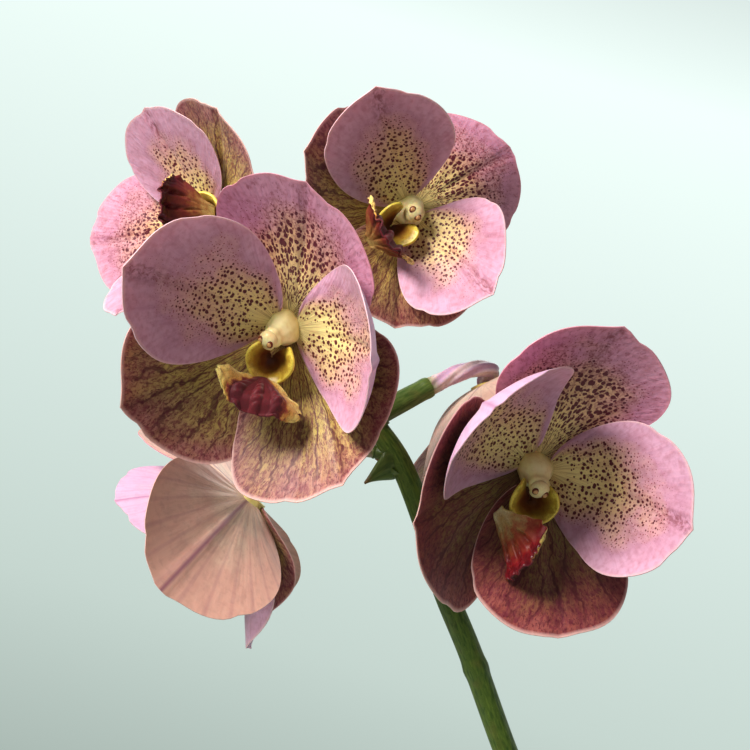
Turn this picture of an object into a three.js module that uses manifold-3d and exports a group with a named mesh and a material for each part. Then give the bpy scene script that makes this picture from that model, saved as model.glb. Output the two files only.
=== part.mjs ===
// Potted vanda orchid: a leafy stem with aerial roots in a clay pot of bark, and one spike of six flowers.
// Millimetres, +Z up. The origin is the middle of the pot's underside, and the spike leans towards -X.
import * as THREE from "three";
import { mergeVertices } from "three/addons/utils/BufferGeometryUtils.js";
import Module from "manifold-3d";

const wasm = await Module();
wasm.setup();

// Driving dimensions
const GAP = 0.3;
const POT = { height: 145, foot: 50, top: 76, rim: 82, rimHeight: 26, wall: 6, floor: 9 };
const DRAIN = { count: 4, radius: 6, circle: 28 };
const BARK = { level: 122, lump: 2.6, pitch: 11 };
const STEM = { radius: 8, foot: 96, top: 290 };
const ROOT_RADIUS = 3.2;
const LEAF = { count: 10, firstBase: 152, step: 13.5, width: 28, thickness: 2, sheath: 60 };
const SPIKE = { radius: 4.7, tip: 2.2 };
const TEPAL = { thickness: 0.9, fan: 80, claw: 2.2, seat: 4, shoulder: 0.05, taper: 0.2 };
const RECEPTACLE = { radius: 3.4, back: -4.6, front: 1.9 };

// Distance in front of the flower's middle at which each kind of tepal starts, so that they overlap in order
const LAYER = { dorsal_sepal: -1.2, left_petal: 0.6, right_petal: 1.2, left_sepal: -3.2, right_sepal: -1.8 };

// Sizes of each tepal as a row: length, width, heading, lift, curl, cup, sideways bend, turn.
// Heading turns anticlockwise from the flower's right. Lengths are in mm and angles in degrees.
// spray holds the points that the pedicel passes between the spike and the back of the flower.
// neck is the length of its straight end.
const FLOWERS = {
  front_flower: {
    centre: [-142.4, 0, 547.2], yaw: -1, pitch: -15, roll: -17, lipHeading: 262, neck: 5,
    spray: [[-119, 40, 538], [-130, 28, 545], [-138, 14, 549]],
    dorsal_sepal: [51, 60, 89, 10, 23, 6, 8, -20],
    left_petal: [67, 51, 165, 17, 39, 7, 1, 10],
    right_petal: [66, 55, 14, 21, 82, 8, 1, 1],
    left_sepal: [63, 65, 226, 1, 47, 10, -7, -12],
    right_sepal: [59, 71, 318, 14, 45, 10, -7, 13],
  },
  top_flower: {
    centre: [-96, 60, 596], yaw: 18, pitch: -4, roll: -54, lipHeading: 270, neck: 5,
    spray: [[-124, 54, 566], [-113, 66, 580], [-102, 74, 592]],
    dorsal_sepal: [51, 54, 86, -6, -7, -10, -3, -5],
    left_petal: [55, 49, 173, 22, 28, 6, 2, -19],
    right_petal: [49, 49, 3, 34, 28, 8, -4, 18],
    left_sepal: [51, 52, 215, 7, 29, 0, -3, 1],
    right_sepal: [45, 57, 315, 16, 7, 4, -2, -6],
  },
  left_flower: {
    centre: [-180, 85, 594], yaw: -45, pitch: 4, roll: 95, lipHeading: 270, neck: 5,
    spray: [[-143, 57, 590], [-150, 76, 590], [-163, 96, 591]],
    dorsal_sepal: [56, 54, 93, 11, 21, 0, 0, 2],
    left_petal: [53, 52, 165, 40, 9, 1, -1, 11],
    right_petal: [48, 54, 6, 32, 10, 1, 0, -6],
    left_sepal: [55, 57, 212, 6, 10, 3, 0, -5],
    right_sepal: [54, 56, 315, 18, 27, 2, -2, 8],
  },
  right_flower: {
    centre: [-52.4, 0, 496.7], yaw: 4, pitch: -3, roll: -30, lipHeading: 270, neck: 5,
    spray: [[-83, 42, 474], [-68, 40, 482], [-56, 22, 494]],
    dorsal_sepal: [59, 56, 99, 6, 44, 9, -5, 9],
    left_petal: [65, 58, 165, 17, 85, 11, -2, -1],
    right_petal: [65, 51, 15, 20, 56, 8, -3, -1],
    left_sepal: [59, 71, 223, 13, 55, 9, 4, -17],
    right_sepal: [60, 56, 310, 17, 28, -2, -6, -17],
  },
  low_flower: {
    centre: [-160, 40, 481], yaw: -89, pitch: -45, roll: 54, lipHeading: 279, neck: 5,
    spray: [[-112, 48, 500], [-127, 46, 501], [-146, 42, 494]],
    dorsal_sepal: [53, 56, 75, 6, 7, -1, 1, -17],
    left_petal: [55, 49, 216, 52, -12, -9, -12, -16],
    right_petal: [46, 55, 14, 38, 10, 1, -2, -10],
    left_sepal: [50, 42, 199, 34, 8, -10, -16, -4],
    right_sepal: [65, 59, 307, 20, 30, -8, -1, -11],
  },
  back_flower: {
    centre: [-64, 62, 523], yaw: 64, pitch: -66, roll: -26, lipHeading: 262, neck: 0.5,
    spray: [[-87, 52, 526], [-76, 55, 531], [-68, 58, 532.6], [-63, 60.5, 531.5]],
    dorsal_sepal: [54, 55, 88, 9, 8, 2, 0, 0],
    left_petal: [52, 56, 164, 31, 4, 2, 0, 1],
    right_petal: [52, 55, 27, 34, 4, 3, 0, -7],
    left_sepal: [55, 58, 205, 14, 22, 9, 0, 11],
    right_sepal: [51, 57, 323, 22, 2, -5, 1, -27],
  },
};

// The spike's middle line, from the back of the stem to its dry tip
const SPIKE_LINE = [
  [0, 8.8, 204], [-0.5, 14, 205], [-4, 23, 222], [-14, 29, 255], [-26, 36, 295], [-41, 42, 338],
  [-59, 45, 383], [-73, 45, 422], [-83.5, 45, 448], [-91.6, 45, 475], [-101, 45, 497.5], [-112.6, 46, 514],
  [-123.6, 47, 532], [-131.6, 48, 556], [-136.8, 49, 579], [-140, 50, 598], [-140.6, 50, 606],
];
// Where each flower's short green shoulder leaves the spike
const SHOULDERS = {
  front_flower: [-117, 46.5, 521],
  top_flower: [-133, 48.3, 561],
  left_flower: [-138, 49.3, 584],
  right_flower: [-91, 45, 473],
  low_flower: [-101.5, 45, 498],
  back_flower: [-106, 45.5, 505],
};
const SHOULDER_RADIUS = { front_flower: 3.2, back_flower: 5 };

// Root lines: two climb over the rim and hang, two turn down into the bark
const ROOT_LINES = [
  [[-3.2, -8.4, 141], [-5, -16, 143], [-13, -38, 142], [-23, -62, 149], [-30, -81, 150.5], [-35, -93, 141],
    [-36, -96, 116], [-30, -97, 88]],
  [[4.3, 8.2, 143], [8, 16, 146], [22, 38, 145], [38, 56, 150], [49, 71, 150.5], [57, 81, 141], [58, 83, 114],
    [54, 85, 84], [58, 87, 64]],
  [[7.4, -5.3, 139], [14, -10, 141], [28, -22, 135], [40, -30, 121], [45, -34, 104]],
  [[-7.4, 5.3, 136], [-14, 10, 138], [-28, 18, 133], [-42, 22, 119], [-47, 24, 102]],
];

const COLOURS = {
  clay: 0xb4633f, bark: 0x5d4632, stem: 0x5d7a3c, leaf: 0x4f7a38, root: 0xb9bda6, spike: 0x63803f,
  petal: 0xc79bb2, sepal: 0xb39a6e, lip: 0x7a2b33, column: 0xf0e2a8,
};

const radians = THREE.MathUtils.degToRad;
const lerp = THREE.MathUtils.lerp;
const smooth = THREE.MathUtils.smoothstep;
const vector = (point) => new THREE.Vector3(...point);

const object = new THREE.Group();

function addMesh(parent, name, geometry, colour, roughness = 0.6) {
  const material = new THREE.MeshStandardMaterial({ color: COLOURS[colour], roughness, metalness: 0 });
  const mesh = new THREE.Mesh(geometry, material);
  mesh.name = name;
  parent.add(mesh);
}

function geometryFrom(points, triangles) {
  const geometry = new THREE.BufferGeometry();
  const positions = points.flatMap((point) => point.toArray());
  geometry.setAttribute("position", new THREE.Float32BufferAttribute(positions, 3));
  geometry.setIndex(triangles.flat());
  return geometry;
}

// Solids for cutting and joining. Triangles that close up at a lathe's pole are left out.
function solidFrom(geometry) {
  const bare = new THREE.BufferGeometry();
  bare.setAttribute("position", geometry.getAttribute("position"));
  bare.setIndex(geometry.getIndex());
  const merged = mergeVertices(bare, 1e-3);
  const index = merged.getIndex().array;
  const kept = [];
  for (let i = 0; i < index.length; i += 3) {
    const [a, b, c] = [index[i], index[i + 1], index[i + 2]];
    if (a !== b && b !== c && c !== a) kept.push(a, b, c);
  }
  return new wasm.Manifold(new wasm.Mesh({
    numProp: 3,
    vertProperties: new Float32Array(merged.getAttribute("position").array),
    triVerts: new Uint32Array(kept),
  }));
}

function geometryOf(solid) {
  const mesh = solid.getMesh();
  const geometry = new THREE.BufferGeometry();
  geometry.setAttribute("position", new THREE.BufferAttribute(new Float32Array(mesh.vertProperties), 3));
  geometry.setIndex(new THREE.BufferAttribute(new Uint32Array(mesh.triVerts), 1));
  return geometry;
}

function lathe(profile, segments) {
  const points = profile.map(([radius, height]) => new THREE.Vector2(radius, height));
  return new THREE.LatheGeometry(points, segments).rotateX(Math.PI / 2);
}

// A closed tube through rings of points, with a middle point at each end
function loft(rings) {
  const sides = rings[0].length;
  const points = rings.flat();
  const triangles = [];
  for (let i = 0; i + 1 < rings.length; i += 1) {
    for (let j = 0; j < sides; j += 1) {
      const [a, b] = [i * sides + j, i * sides + ((j + 1) % sides)];
      triangles.push([a, b, b + sides], [a, b + sides, a + sides]);
    }
  }
  const total = (ring) => ring.reduce((sum, point) => sum.add(point), new THREE.Vector3());
  const middle = (ring) => total(ring).divideScalar(sides);
  const [first, last] = [points.length, points.length + 1];
  points.push(middle(rings[0]), middle(rings[rings.length - 1]));
  const top = (rings.length - 1) * sides;
  for (let j = 0; j < sides; j += 1) {
    const next = (j + 1) % sides;
    triangles.push([first, next, j], [last, top + j, top + next]);
  }
  return geometryFrom(points, triangles);
}

// A round closed tube along a smooth line, with its radius given along it
function tube(line, radiusAt, steps, sides) {
  const curve = new THREE.CatmullRomCurve3(line.map(vector), false, "centripetal");
  const frames = curve.computeFrenetFrames(steps, false);
  const rings = [];
  for (let i = 0; i <= steps; i += 1) {
    const centre = curve.getPointAt(i / steps);
    const ring = [];
    for (let j = 0; j < sides; j += 1) {
      const angle = (2 * Math.PI * j) / sides;
      ring.push(centre.clone()
        .addScaledVector(frames.normals[i], radiusAt(i / steps) * Math.cos(angle))
        .addScaledVector(frames.binormals[i], radiusAt(i / steps) * Math.sin(angle)));
    }
    rings.push(ring);
  }
  return loft(rings);
}

// A closed sheet of even thickness over surface(u, v), with u from 0 to 1 and v from -1 to 1
function sheet(surface, rows, columns, thickness) {
  const points = [];
  const step = 1e-3;
  for (const side of [0.5, -0.5]) {
    for (let i = 0; i <= rows; i += 1) {
      for (let j = 0; j <= columns; j += 1) {
        const [u, v] = [i / rows, (2 * j) / columns - 1];
        const along = surface(u + step, v).sub(surface(u - step, v));
        const across = surface(u, v + step).sub(surface(u, v - step));
        const normal = along.cross(across).normalize();
        points.push(surface(u, v).addScaledVector(normal, side * thickness));
      }
    }
  }
  const width = columns + 1;
  const back = (rows + 1) * width;
  const triangles = [];
  const addQuad = (a, b, c, d) => triangles.push([a, b, c], [a, c, d]);
  for (let i = 0; i < rows; i += 1) {
    for (let j = 0; j < columns; j += 1) {
      const a = i * width + j;
      addQuad(a, a + width, a + width + 1, a + 1);
      addQuad(back + a, back + a + 1, back + a + width + 1, back + a + width);
    }
  }
  for (let i = 0; i < rows; i += 1) {
    const [a, b] = [i * width, i * width + columns];
    addQuad(a, back + a, back + a + width, a + width);
    addQuad(b, b + width, back + b + width, back + b);
  }
  for (let j = 0; j < columns; j += 1) {
    const b = rows * width + j;
    addQuad(j, j + 1, back + j + 1, back + j);
    addQuad(b, back + b, back + b + 1, b + 1);
  }
  return geometryFrom(points, triangles);
}

// Clay pot: tapered wall, plain raised rim, flat base with drain holes clear of its middle
const potInner = (height) => lerp(POT.foot, POT.top, height / POT.height) - POT.wall;
function makePot() {
  const rimFoot = POT.height - POT.rimHeight;
  const bodyTop = lerp(POT.foot, POT.top, rimFoot / POT.height);
  const wall = lathe([
    [0, 0], [POT.foot, 0], [bodyTop, rimFoot], [POT.rim - 1.5, rimFoot], [POT.rim, POT.height - 2],
    [POT.rim - 2, POT.height], [potInner(POT.height), POT.height], [potInner(POT.floor), POT.floor],
    [0, POT.floor],
  ], 40);
  let pot = solidFrom(wall);
  for (let i = 0; i < DRAIN.count; i += 1) {
    const angle = ((i + 0.5) * 2 * Math.PI) / DRAIN.count;
    const drill = new THREE.CylinderGeometry(DRAIN.radius, DRAIN.radius, 3 * POT.floor, 16);
    drill.rotateX(Math.PI / 2).translate(DRAIN.circle * Math.cos(angle), DRAIN.circle * Math.sin(angle), 0);
    pot = pot.subtract(solidFrom(drill));
  }
  return geometryOf(pot);
}

const rootRadius = (t) => ROOT_RADIUS * (0.55 + 0.45 * smooth(t, 0, 0.1)) * (1 - 0.55 * smooth(t, 0.93, 1));
const rootSteps = (line) => 4 + 2 * line.length;
const makeRoot = (line) => tube(line, rootRadius, rootSteps(line), 8);

// Bark and charcoal as one lumpy fill, with pockets for the stem's foot and for the roots
function makeBark() {
  const base = POT.floor + GAP;
  const edge = (height) => potInner(height) - GAP;
  const profile = [[0, base], [edge(base), base], [edge(BARK.level), BARK.level]];
  const rings = 6;
  for (let i = 1; i < rings; i += 1) profile.push([edge(BARK.level) * (1 - i / rings), BARK.level]);
  profile.push([0, BARK.level]);
  const body = lathe(profile, 40);
  const position = body.getAttribute("position");
  for (let i = 0; i < position.count; i += 1) {
    const [x, y, z] = [position.getX(i), position.getY(i), position.getZ(i)];
    const inside = 1 - smooth(Math.hypot(x, y), 0.75 * edge(BARK.level), edge(BARK.level));
    const lumps = Math.sin(x / BARK.pitch * 2.1) * Math.cos(y / BARK.pitch * 1.7)
      + 0.5 * Math.sin((x + 2 * y) / BARK.pitch);
    if (z > BARK.level - 1) position.setZ(i, z + BARK.lump * lumps * inside);
  }
  let bark = solidFrom(body);
  const pocket = STEM.radius + GAP;
  const pocketFoot = STEM.foot - GAP;
  const pocketTop = BARK.level + 20;
  const stemPocket = [[0, pocketFoot], [pocket, pocketFoot], [pocket, pocketTop], [0, pocketTop]];
  bark = bark.subtract(solidFrom(lathe(stemPocket, 24)));
  for (const line of ROOT_LINES) {
    const end = vector(line[line.length - 1]);
    const before = vector(line[line.length - 2]);
    const beyond = end.clone().addScaledVector(end.clone().sub(before).normalize(), 2 * GAP).toArray();
    const rootPocket = tube([...line, beyond], () => ROOT_RADIUS + 1.5 * GAP, rootSteps(line), 8);
    bark = bark.subtract(solidFrom(rootPocket));
  }
  return geometryOf(bark);
}

function makeStem() {
  const profile = [
    [0, STEM.foot], [STEM.radius - 1, STEM.foot], [STEM.radius, STEM.foot + 3], [STEM.radius, STEM.top - 50],
    [STEM.radius - 1, STEM.top - 6], [STEM.radius - 4, STEM.top], [0, STEM.top],
  ];
  return geometryOf(solidFrom(lathe(profile, 24)));
}

// One strap leaf. Its keel line climbs beside the stem, leans out, arches and droops.
// Across, it is a sheath around the stem at its base and a V channel that opens flatter to its tip.
function makeLeaf(order) {
  const rank = order % 2 === 0 ? Math.PI : 0;
  const age = 1 - order / (LEAF.count - 1);
  const heading = rank + radians(6 * Math.sin(2.4 * order + 0.6));
  const length = lerp(185, 255, smooth(age, 0, 0.8)) - 18 * smooth(age, 0.8, 1) + 9 * Math.sin(2.9 * order);
  const leave = radians(lerp(42, 52, age));
  const droop = radians(lerp(56, 72, age) + 6 * Math.sin(1.7 * order + 1));
  const seat = STEM.radius + 2 * GAP + LEAF.thickness / 2;
  const base = LEAF.firstBase + LEAF.step * order;
  const out = new THREE.Vector3(Math.cos(heading), Math.sin(heading), 0);
  const side = new THREE.Vector3(-Math.sin(heading), Math.cos(heading), 0);
  const samples = 60;
  const line = [{ out: seat, height: base, lean: 0 }];
  for (let i = 1; i <= samples; i += 1) {
    const along = i / samples;
    const lean = leave * smooth(along * length, 12, 48) + droop * along ** 1.3;
    const last = line[i - 1];
    const move = length / samples;
    line.push({ out: last.out + move * Math.sin(lean), height: last.height + move * Math.cos(lean), lean });
  }
  const surface = (u, v) => {
    const spot = THREE.MathUtils.clamp(u, 0, 1) * samples;
    const low = Math.min(Math.floor(spot), samples - 1);
    const part = spot - low;
    const lean = lerp(line[low].lean, line[low + 1].lean, part);
    const past = (u - THREE.MathUtils.clamp(u, 0, 1)) * length;
    const away = lerp(line[low].out, line[low + 1].out, part) + past * Math.sin(lean);
    const height = lerp(line[low].height, line[low + 1].height, part) + past * Math.cos(lean);
    const blade = smooth(u * length, 6, 50);
    const angle = v * radians(LEAF.sheath);
    const half = (LEAF.width / 2) * (0.72 + 0.28 * smooth(u, 0.05, 0.35)) * (1 - 0.35 * smooth(u, 0.8, 1));
    const across = lerp(seat * Math.sin(angle), half * v, blade);
    const depth = lerp(7.5, 3, smooth(u, 0.1, 0.8));
    const rise = lerp(seat * (1 - Math.cos(angle)), depth * Math.abs(v) ** 1.2, blade);
    const point = out.clone().multiplyScalar(away - rise * Math.cos(lean));
    point.z = height + rise * Math.sin(lean);
    return point.addScaledVector(side, across);
  };
  return sheet(surface, 13, 4, LEAF.thickness);
}

// The flower's own axes: x to its right, y towards its dorsal sepal, z out of its face
function flowerFrame({ centre, yaw, pitch, roll }) {
  const facing = new THREE.Vector3(
    Math.sin(radians(yaw)) * Math.cos(radians(pitch)),
    -Math.cos(radians(yaw)) * Math.cos(radians(pitch)),
    Math.sin(radians(pitch)),
  );
  const upright = new THREE.Vector3(0, 0, 1).addScaledVector(facing, -facing.z).normalize();
  const level = upright.clone().cross(facing);
  const [cos, sin] = [Math.cos(radians(roll)), Math.sin(radians(roll))];
  const right = level.clone().multiplyScalar(cos).addScaledVector(upright, sin);
  const up = upright.clone().multiplyScalar(cos).addScaledVector(level, -sin);
  return new THREE.Matrix4().makeBasis(right, up, facing).setPosition(vector(centre));
}

// One sepal or petal: a fan from a narrow claw, cupped across, curled along, lifted and set to its heading.
function makeTepal([length, width, heading, lift, curl, cup, bend, turn], layer) {
  const surface = (reach, spread) => {
    const angle = radians(TEPAL.fan) * spread;
    const [c, s] = [Math.cos(angle), Math.sin(angle)];
    const shoulder = 1 + TEPAL.shoulder * Math.sin(2 * angle) ** 2;
    const radius = (shoulder * length * c) / (c * c + (length / width) ** 2 * s * s);
    const along = (reach * radius * c) / length;
    const across = (1 - reach) * TEPAL.claw * spread + reach * radius * s * (1 + TEPAL.taper * (along - 0.5))
      + bend * along * along;
    const hollow = cup * (across / (width / 2)) ** 2 * (1 - Math.exp(-4 * along));
    const twist = radians(turn) * (1 - Math.exp(-5 * along));
    const y = across * Math.cos(twist) - hollow * Math.sin(twist);
    const z = across * Math.sin(twist) + hollow * Math.cos(twist);
    const bendAngle = radians(curl) * along;
    const bendRadius = length / radians(curl);
    const x = bendRadius * Math.sin(bendAngle) - z * Math.sin(bendAngle);
    const rise = bendRadius * (1 - Math.cos(bendAngle)) + z * Math.cos(bendAngle);
    const tilt = radians(lift);
    const point = new THREE.Vector3(x * Math.cos(tilt) - rise * Math.sin(tilt) + TEPAL.seat, y,
      x * Math.sin(tilt) + rise * Math.cos(tilt) + layer);
    return point.applyAxisAngle(new THREE.Vector3(0, 0, 1), radians(heading));
  };
  return sheet(surface, 5, 7, TEPAL.thickness);
}

// Lip: a cup under the column that runs into a spread middle lobe
function makeLip(heading) {
  const stations = [
    { y: -5.3, z: 2.6, half: 2, thick: 0.7 },
    { y: -8, z: 6.5, half: 5.5, thick: 1.8 },
    { y: -11.5, z: 10.5, half: 8, thick: 2.8 },
    { y: -15, z: 13.5, half: 6, thick: 2 },
    { y: -20, z: 15, half: 9, thick: 1.4 },
    { y: -25.5, z: 14.6, half: 7.5, thick: 1.2 },
    { y: -30, z: 12.5, half: 3, thick: 0.8 },
  ];
  const rings = stations.map((station, i) => {
    const before = stations[Math.max(i - 1, 0)];
    const after = stations[Math.min(i + 1, stations.length - 1)];
    const run = new THREE.Vector3(0, after.y - before.y, after.z - before.z).normalize();
    const thickWay = run.clone().cross(new THREE.Vector3(1, 0, 0));
    const sides = 10;
    return Array.from({ length: sides }, (_, j) => {
      const angle = (2 * Math.PI * j) / sides;
      return new THREE.Vector3(station.half * Math.cos(angle), station.y, station.z)
        .addScaledVector(thickWay, station.thick * Math.sin(angle));
    });
  });
  return loft(rings).rotateZ(radians(heading - 270));
}

// Column with its anther cap, the receptacle that the tepals sit on, and the pedicel, grown as one
function makeColumn(flower, frame) {
  const axisRing = (z, y, radius) => Array.from({ length: 12 }, (_, j) => {
    const angle = (2 * Math.PI * j) / 12;
    return new THREE.Vector3(radius * Math.cos(angle), y + radius * Math.sin(angle), z).applyMatrix4(frame);
  });
  const { radius, back, front } = RECEPTACLE;
  const column = loft([
    axisRing(back, 0, radius - 0.4), axisRing(back + 1, 0, radius), axisRing(front, 0, radius),
    axisRing(5, -0.6, 3.9), axisRing(9, -1.6, 4.2), axisRing(12.5, -2.8, 3.6), axisRing(14, -3.4, 2.2),
  ]);
  const onAxis = (z) => new THREE.Vector3(0, 0, z).applyMatrix4(frame).toArray();
  const line = [...flower.spray, onAxis(back - flower.neck), onAxis(back + 2)];
  const pedicel = tube(line, (t) => lerp(2.4, 3, smooth(t, 0.2, 0.9)), 14, 8);
  return geometryOf(solidFrom(column).add(solidFrom(pedicel)));
}

// Spike with the green shoulder that holds each pedicel
function makeSpike() {
  const foot = (t) => 0.68 + 0.32 * smooth(t, 0, 0.06);
  const taper = (t) => 1 - 0.16 * smooth(t, 0.55, 0.95);
  const tip = (t) => (SPIKE.radius - SPIKE.tip) * 0.9 * smooth(t, 0.965, 1);
  const thickness = (t) => SPIKE.radius * foot(t) * taper(t) - tip(t);
  let spike = solidFrom(tube(SPIKE_LINE, thickness, 44, 10));
  for (const [name, flower] of Object.entries(FLOWERS)) {
    const root = vector(SHOULDERS[name]);
    const first = vector(flower.spray[0]);
    const leaving = vector(flower.spray[1]).sub(first).normalize();
    const end = first.clone().addScaledVector(leaving, -GAP);
    const before = end.clone().addScaledVector(leaving, -2);
    const wide = SHOULDER_RADIUS[name] ?? 3;
    const line = [root.toArray(), before.toArray(), end.toArray()];
    spike = spike.add(solidFrom(tube(line, (t) => lerp(wide, 2.6, t), 4, 8)));
  }
  return geometryOf(spike);
}

addMesh(object, "pot", makePot(), "clay", 0.85);
addMesh(object, "potting_bark", makeBark(), "bark", 0.95);
addMesh(object, "stem", makeStem(), "stem");
ROOT_LINES.forEach((line, i) => {
  addMesh(object, `root_${i + 1}`, geometryOf(solidFrom(makeRoot(line))), "root", 0.8);
});
for (let i = 0; i < LEAF.count; i += 1) addMesh(object, `leaf_${i + 1}`, makeLeaf(i), "leaf", 0.45);
addMesh(object, "flower_spike", makeSpike(), "spike");

for (const [name, flower] of Object.entries(FLOWERS)) {
  const frame = flowerFrame(flower);
  const group = new THREE.Group();
  group.applyMatrix4(frame);
  object.add(group);
  for (const [piece, layer] of Object.entries(LAYER)) {
    const colour = piece.endsWith("petal") ? "petal" : "sepal";
    addMesh(group, `${name}_${piece}`, makeTepal(flower[piece], layer), colour);
  }
  addMesh(group, `${name}_lip`, makeLip(flower.lipHeading), "lip");
  addMesh(object, `${name}_column`, makeColumn(flower, frame), "column");
}

export default object;
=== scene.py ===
# %% [markdown]
# # Potted vanda orchid
#
# A vanda is an orchid that grows on trees. It has one upright stem, strap leaves in two ranks, thick silver
# roots, and a spike of flat flowers. Here it stands in a clay pot of bark, and carries six open flowers.
# The pieces are made at their real size around the plant's plain working model, which is loaded first.

import math
import random
from types import SimpleNamespace

import bpy
from mathutils import Matrix, Vector


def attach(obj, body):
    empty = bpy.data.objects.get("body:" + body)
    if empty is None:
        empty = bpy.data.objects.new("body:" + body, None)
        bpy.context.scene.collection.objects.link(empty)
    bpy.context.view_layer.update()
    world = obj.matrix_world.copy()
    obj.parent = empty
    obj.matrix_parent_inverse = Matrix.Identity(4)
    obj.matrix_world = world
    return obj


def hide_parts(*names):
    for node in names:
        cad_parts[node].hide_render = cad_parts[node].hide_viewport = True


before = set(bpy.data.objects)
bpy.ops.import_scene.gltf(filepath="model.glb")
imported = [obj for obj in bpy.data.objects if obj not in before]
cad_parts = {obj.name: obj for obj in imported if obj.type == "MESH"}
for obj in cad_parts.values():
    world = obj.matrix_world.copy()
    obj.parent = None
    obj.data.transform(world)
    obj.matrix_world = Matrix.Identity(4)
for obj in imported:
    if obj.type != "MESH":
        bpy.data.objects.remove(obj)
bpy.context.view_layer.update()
MM = 0.001

# %% [markdown]
# ## Camera
#
# The picture is taken level with the flowers, about half a metre from the nearest one, so that the frame is
# 270 mm wide at that flower. The lens follows from those two lengths, so it isn't found by trying.

# %% Camera
FLOWER_DISTANCE = 520
FRAME_WIDTH = 270
SENSOR = 36
CAMERA_ACROSS, CAMERA_HEIGHT = -110, 530

lens_data = bpy.data.cameras.new("camera")
lens_data.sensor_width = SENSOR
lens_data.lens = SENSOR * FLOWER_DISTANCE / FRAME_WIDTH
lens_data.clip_start = 0.02
camera = bpy.data.objects.new("camera", lens_data)
camera.location = (CAMERA_ACROSS * MM, -FLOWER_DISTANCE * MM, CAMERA_HEIGHT * MM)
camera.rotation_euler = (math.radians(90), 0, 0)
bpy.context.scene.collection.objects.link(camera)
bpy.context.scene.camera = camera
print("lens", round(lens_data.lens, 1), "mm")

# %% [markdown]
# ## Small helpers
#
# Colours are written as sRGB hex, as a paint chart gives them, and turned to the linear values that the
# shaders take. One function adds a shader node with its settings and its links. Every finish here is a ground
# colour with thin layers of pigment over it, as on the real plant, so one function also lays those layers.

# %% Helpers for colours and shader nodes
SOFT = {"interpolation_type": "SMOOTHSTEP"}
BUMP_FILTER = 0.1


def linear(colour):
    """An sRGB hex colour as linear red, green, blue and alpha."""
    channels = [int(colour[i:i + 2], 16) / 255 for i in (0, 2, 4)]
    return (*[c / 12.92 if c <= 0.04045 else ((c + 0.055) / 1.055) ** 2.4 for c in channels], 1)


def add_node(tree, kind, *values, output=0, stops=(), **settings):
    """Adds a node, sets or links its inputs in their order, and returns one of its outputs."""
    node = tree.nodes.new("ShaderNode" + kind)
    for name, value in settings.items():
        setattr(node, name, value)
    for socket, value in zip([socket for socket in node.inputs if socket.enabled], values):
        if isinstance(value, bpy.types.NodeSocket):
            tree.links.new(value, socket)
        else:
            socket.default_value = value
    for i, (position, colour) in enumerate(stops):
        stop = node.color_ramp.elements[i] if i < 2 else node.color_ramp.elements.new(1)
        stop.position = position
        stop.color = linear(colour)
    return [socket for socket in node.outputs if socket.enabled][output]


def read_values(tree, name):
    """The three values that a formula wrote to each vertex under a name."""
    values = add_node(tree, "Attribute", attribute_name=name, output=1)
    return add_node(tree, "SeparateXYZ", values).node.outputs


def start_material(name, **finish):
    """A material with a Principled shader, whose even values are set on the shader's own sockets."""
    material = bpy.data.materials.new(name)
    material.use_nodes = True
    shader = material.node_tree.nodes["Principled BSDF"]
    for socket, value in finish.items():
        shader.inputs[socket.replace("_", " ")].default_value = value
    return material, material.node_tree, shader


def finish_material(tree, shader, colour, layers, relief, strength, depth, roughness=None):
    """Lays each shade over the colour as far as its factor says, and adds a relief, deep in mm, as bump."""
    for factor, shade in layers:
        colour = add_node(tree, "Mix", factor, colour, linear(shade), data_type="RGBA")
    bump = add_node(tree, "Bump", strength, depth * MM, BUMP_FILTER, relief)
    tree.links.new(colour, shader.inputs["Base Color"])
    tree.links.new(bump, shader.inputs["Normal"])
    if roughness:
        tree.links.new(roughness, shader.inputs["Roughness"])


# %% [markdown]
# ## Helpers for shapes
#
# Petals, leaves and lips curve two ways at once, so each starts as a flat grid, and a formula moves its
# vertices. The formula can also write values to the vertices, such as how far out they lie on the petal, for
# the finish to read. A sheet gets its thickness from Solidify, thinner where its weight is less.

# %% Helpers for formulas
def smooth(value, low, high):
    """0 below low, 1 above high, and an even S between them."""
    share = min(max((value - low) / (high - low), 0), 1)
    return share * share * (3 - 2 * share)


def lerp(first, second, share):
    return first + (second - first) * share


def turned_by(degrees, axis):
    return Matrix.Rotation(math.radians(degrees), 4, axis)


# %% Helpers for grids
def select_only(piece):
    bpy.ops.object.select_all(action="DESELECT")
    piece.select_set(True)
    bpy.context.view_layer.objects.active = piece


def start_piece(name, add_primitive, *materials, **sizes):
    """Adds a primitive with its operator, and gives it its name and materials."""
    bpy.ops.object.select_all(action="DESELECT")
    add_primitive(**sizes)
    piece = bpy.context.object
    piece.name = piece.data.name = name
    for material in materials:
        piece.data.materials.append(material)
    return piece


def start_grid(name, rows, columns, materials):
    """A flat square of rows by columns faces, two metres wide, that a formula then shapes."""
    add_grid = bpy.ops.mesh.primitive_grid_add
    return start_piece(name, add_grid, *materials, x_subdivisions=rows, y_subdivisions=columns, size=2)


def shape_grid(piece, surface, *names):
    """Moves each vertex to surface(u, v), with u from 0 to 1 and v from -1 to 1.
    surface gives a place in millimetres, and then three values for each named attribute."""
    vertices = piece.data.vertices
    rows = [surface((vertex.co.x + 1) / 2, vertex.co.y) for vertex in vertices]
    for vertex, row in zip(vertices, rows):
        vertex.co = row[0] * MM
    for i, name in enumerate(names, 1):
        attribute = piece.data.attributes.new(name, "FLOAT_VECTOR", "POINT")
        attribute.data.foreach_set("vector", [value for row in rows for value in row[i]])


def weigh_grid(piece, share_at):
    """Notes in a vertex group how thick the sheet will be at u and v, as a share of the whole."""
    body = piece.vertex_groups.new(name="body")
    for vertex in piece.data.vertices:
        body.add([vertex.index], share_at((vertex.co.x + 1) / 2, vertex.co.y), "REPLACE")


# %% Helpers for finishing a piece
THINNEST = 0.05


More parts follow.
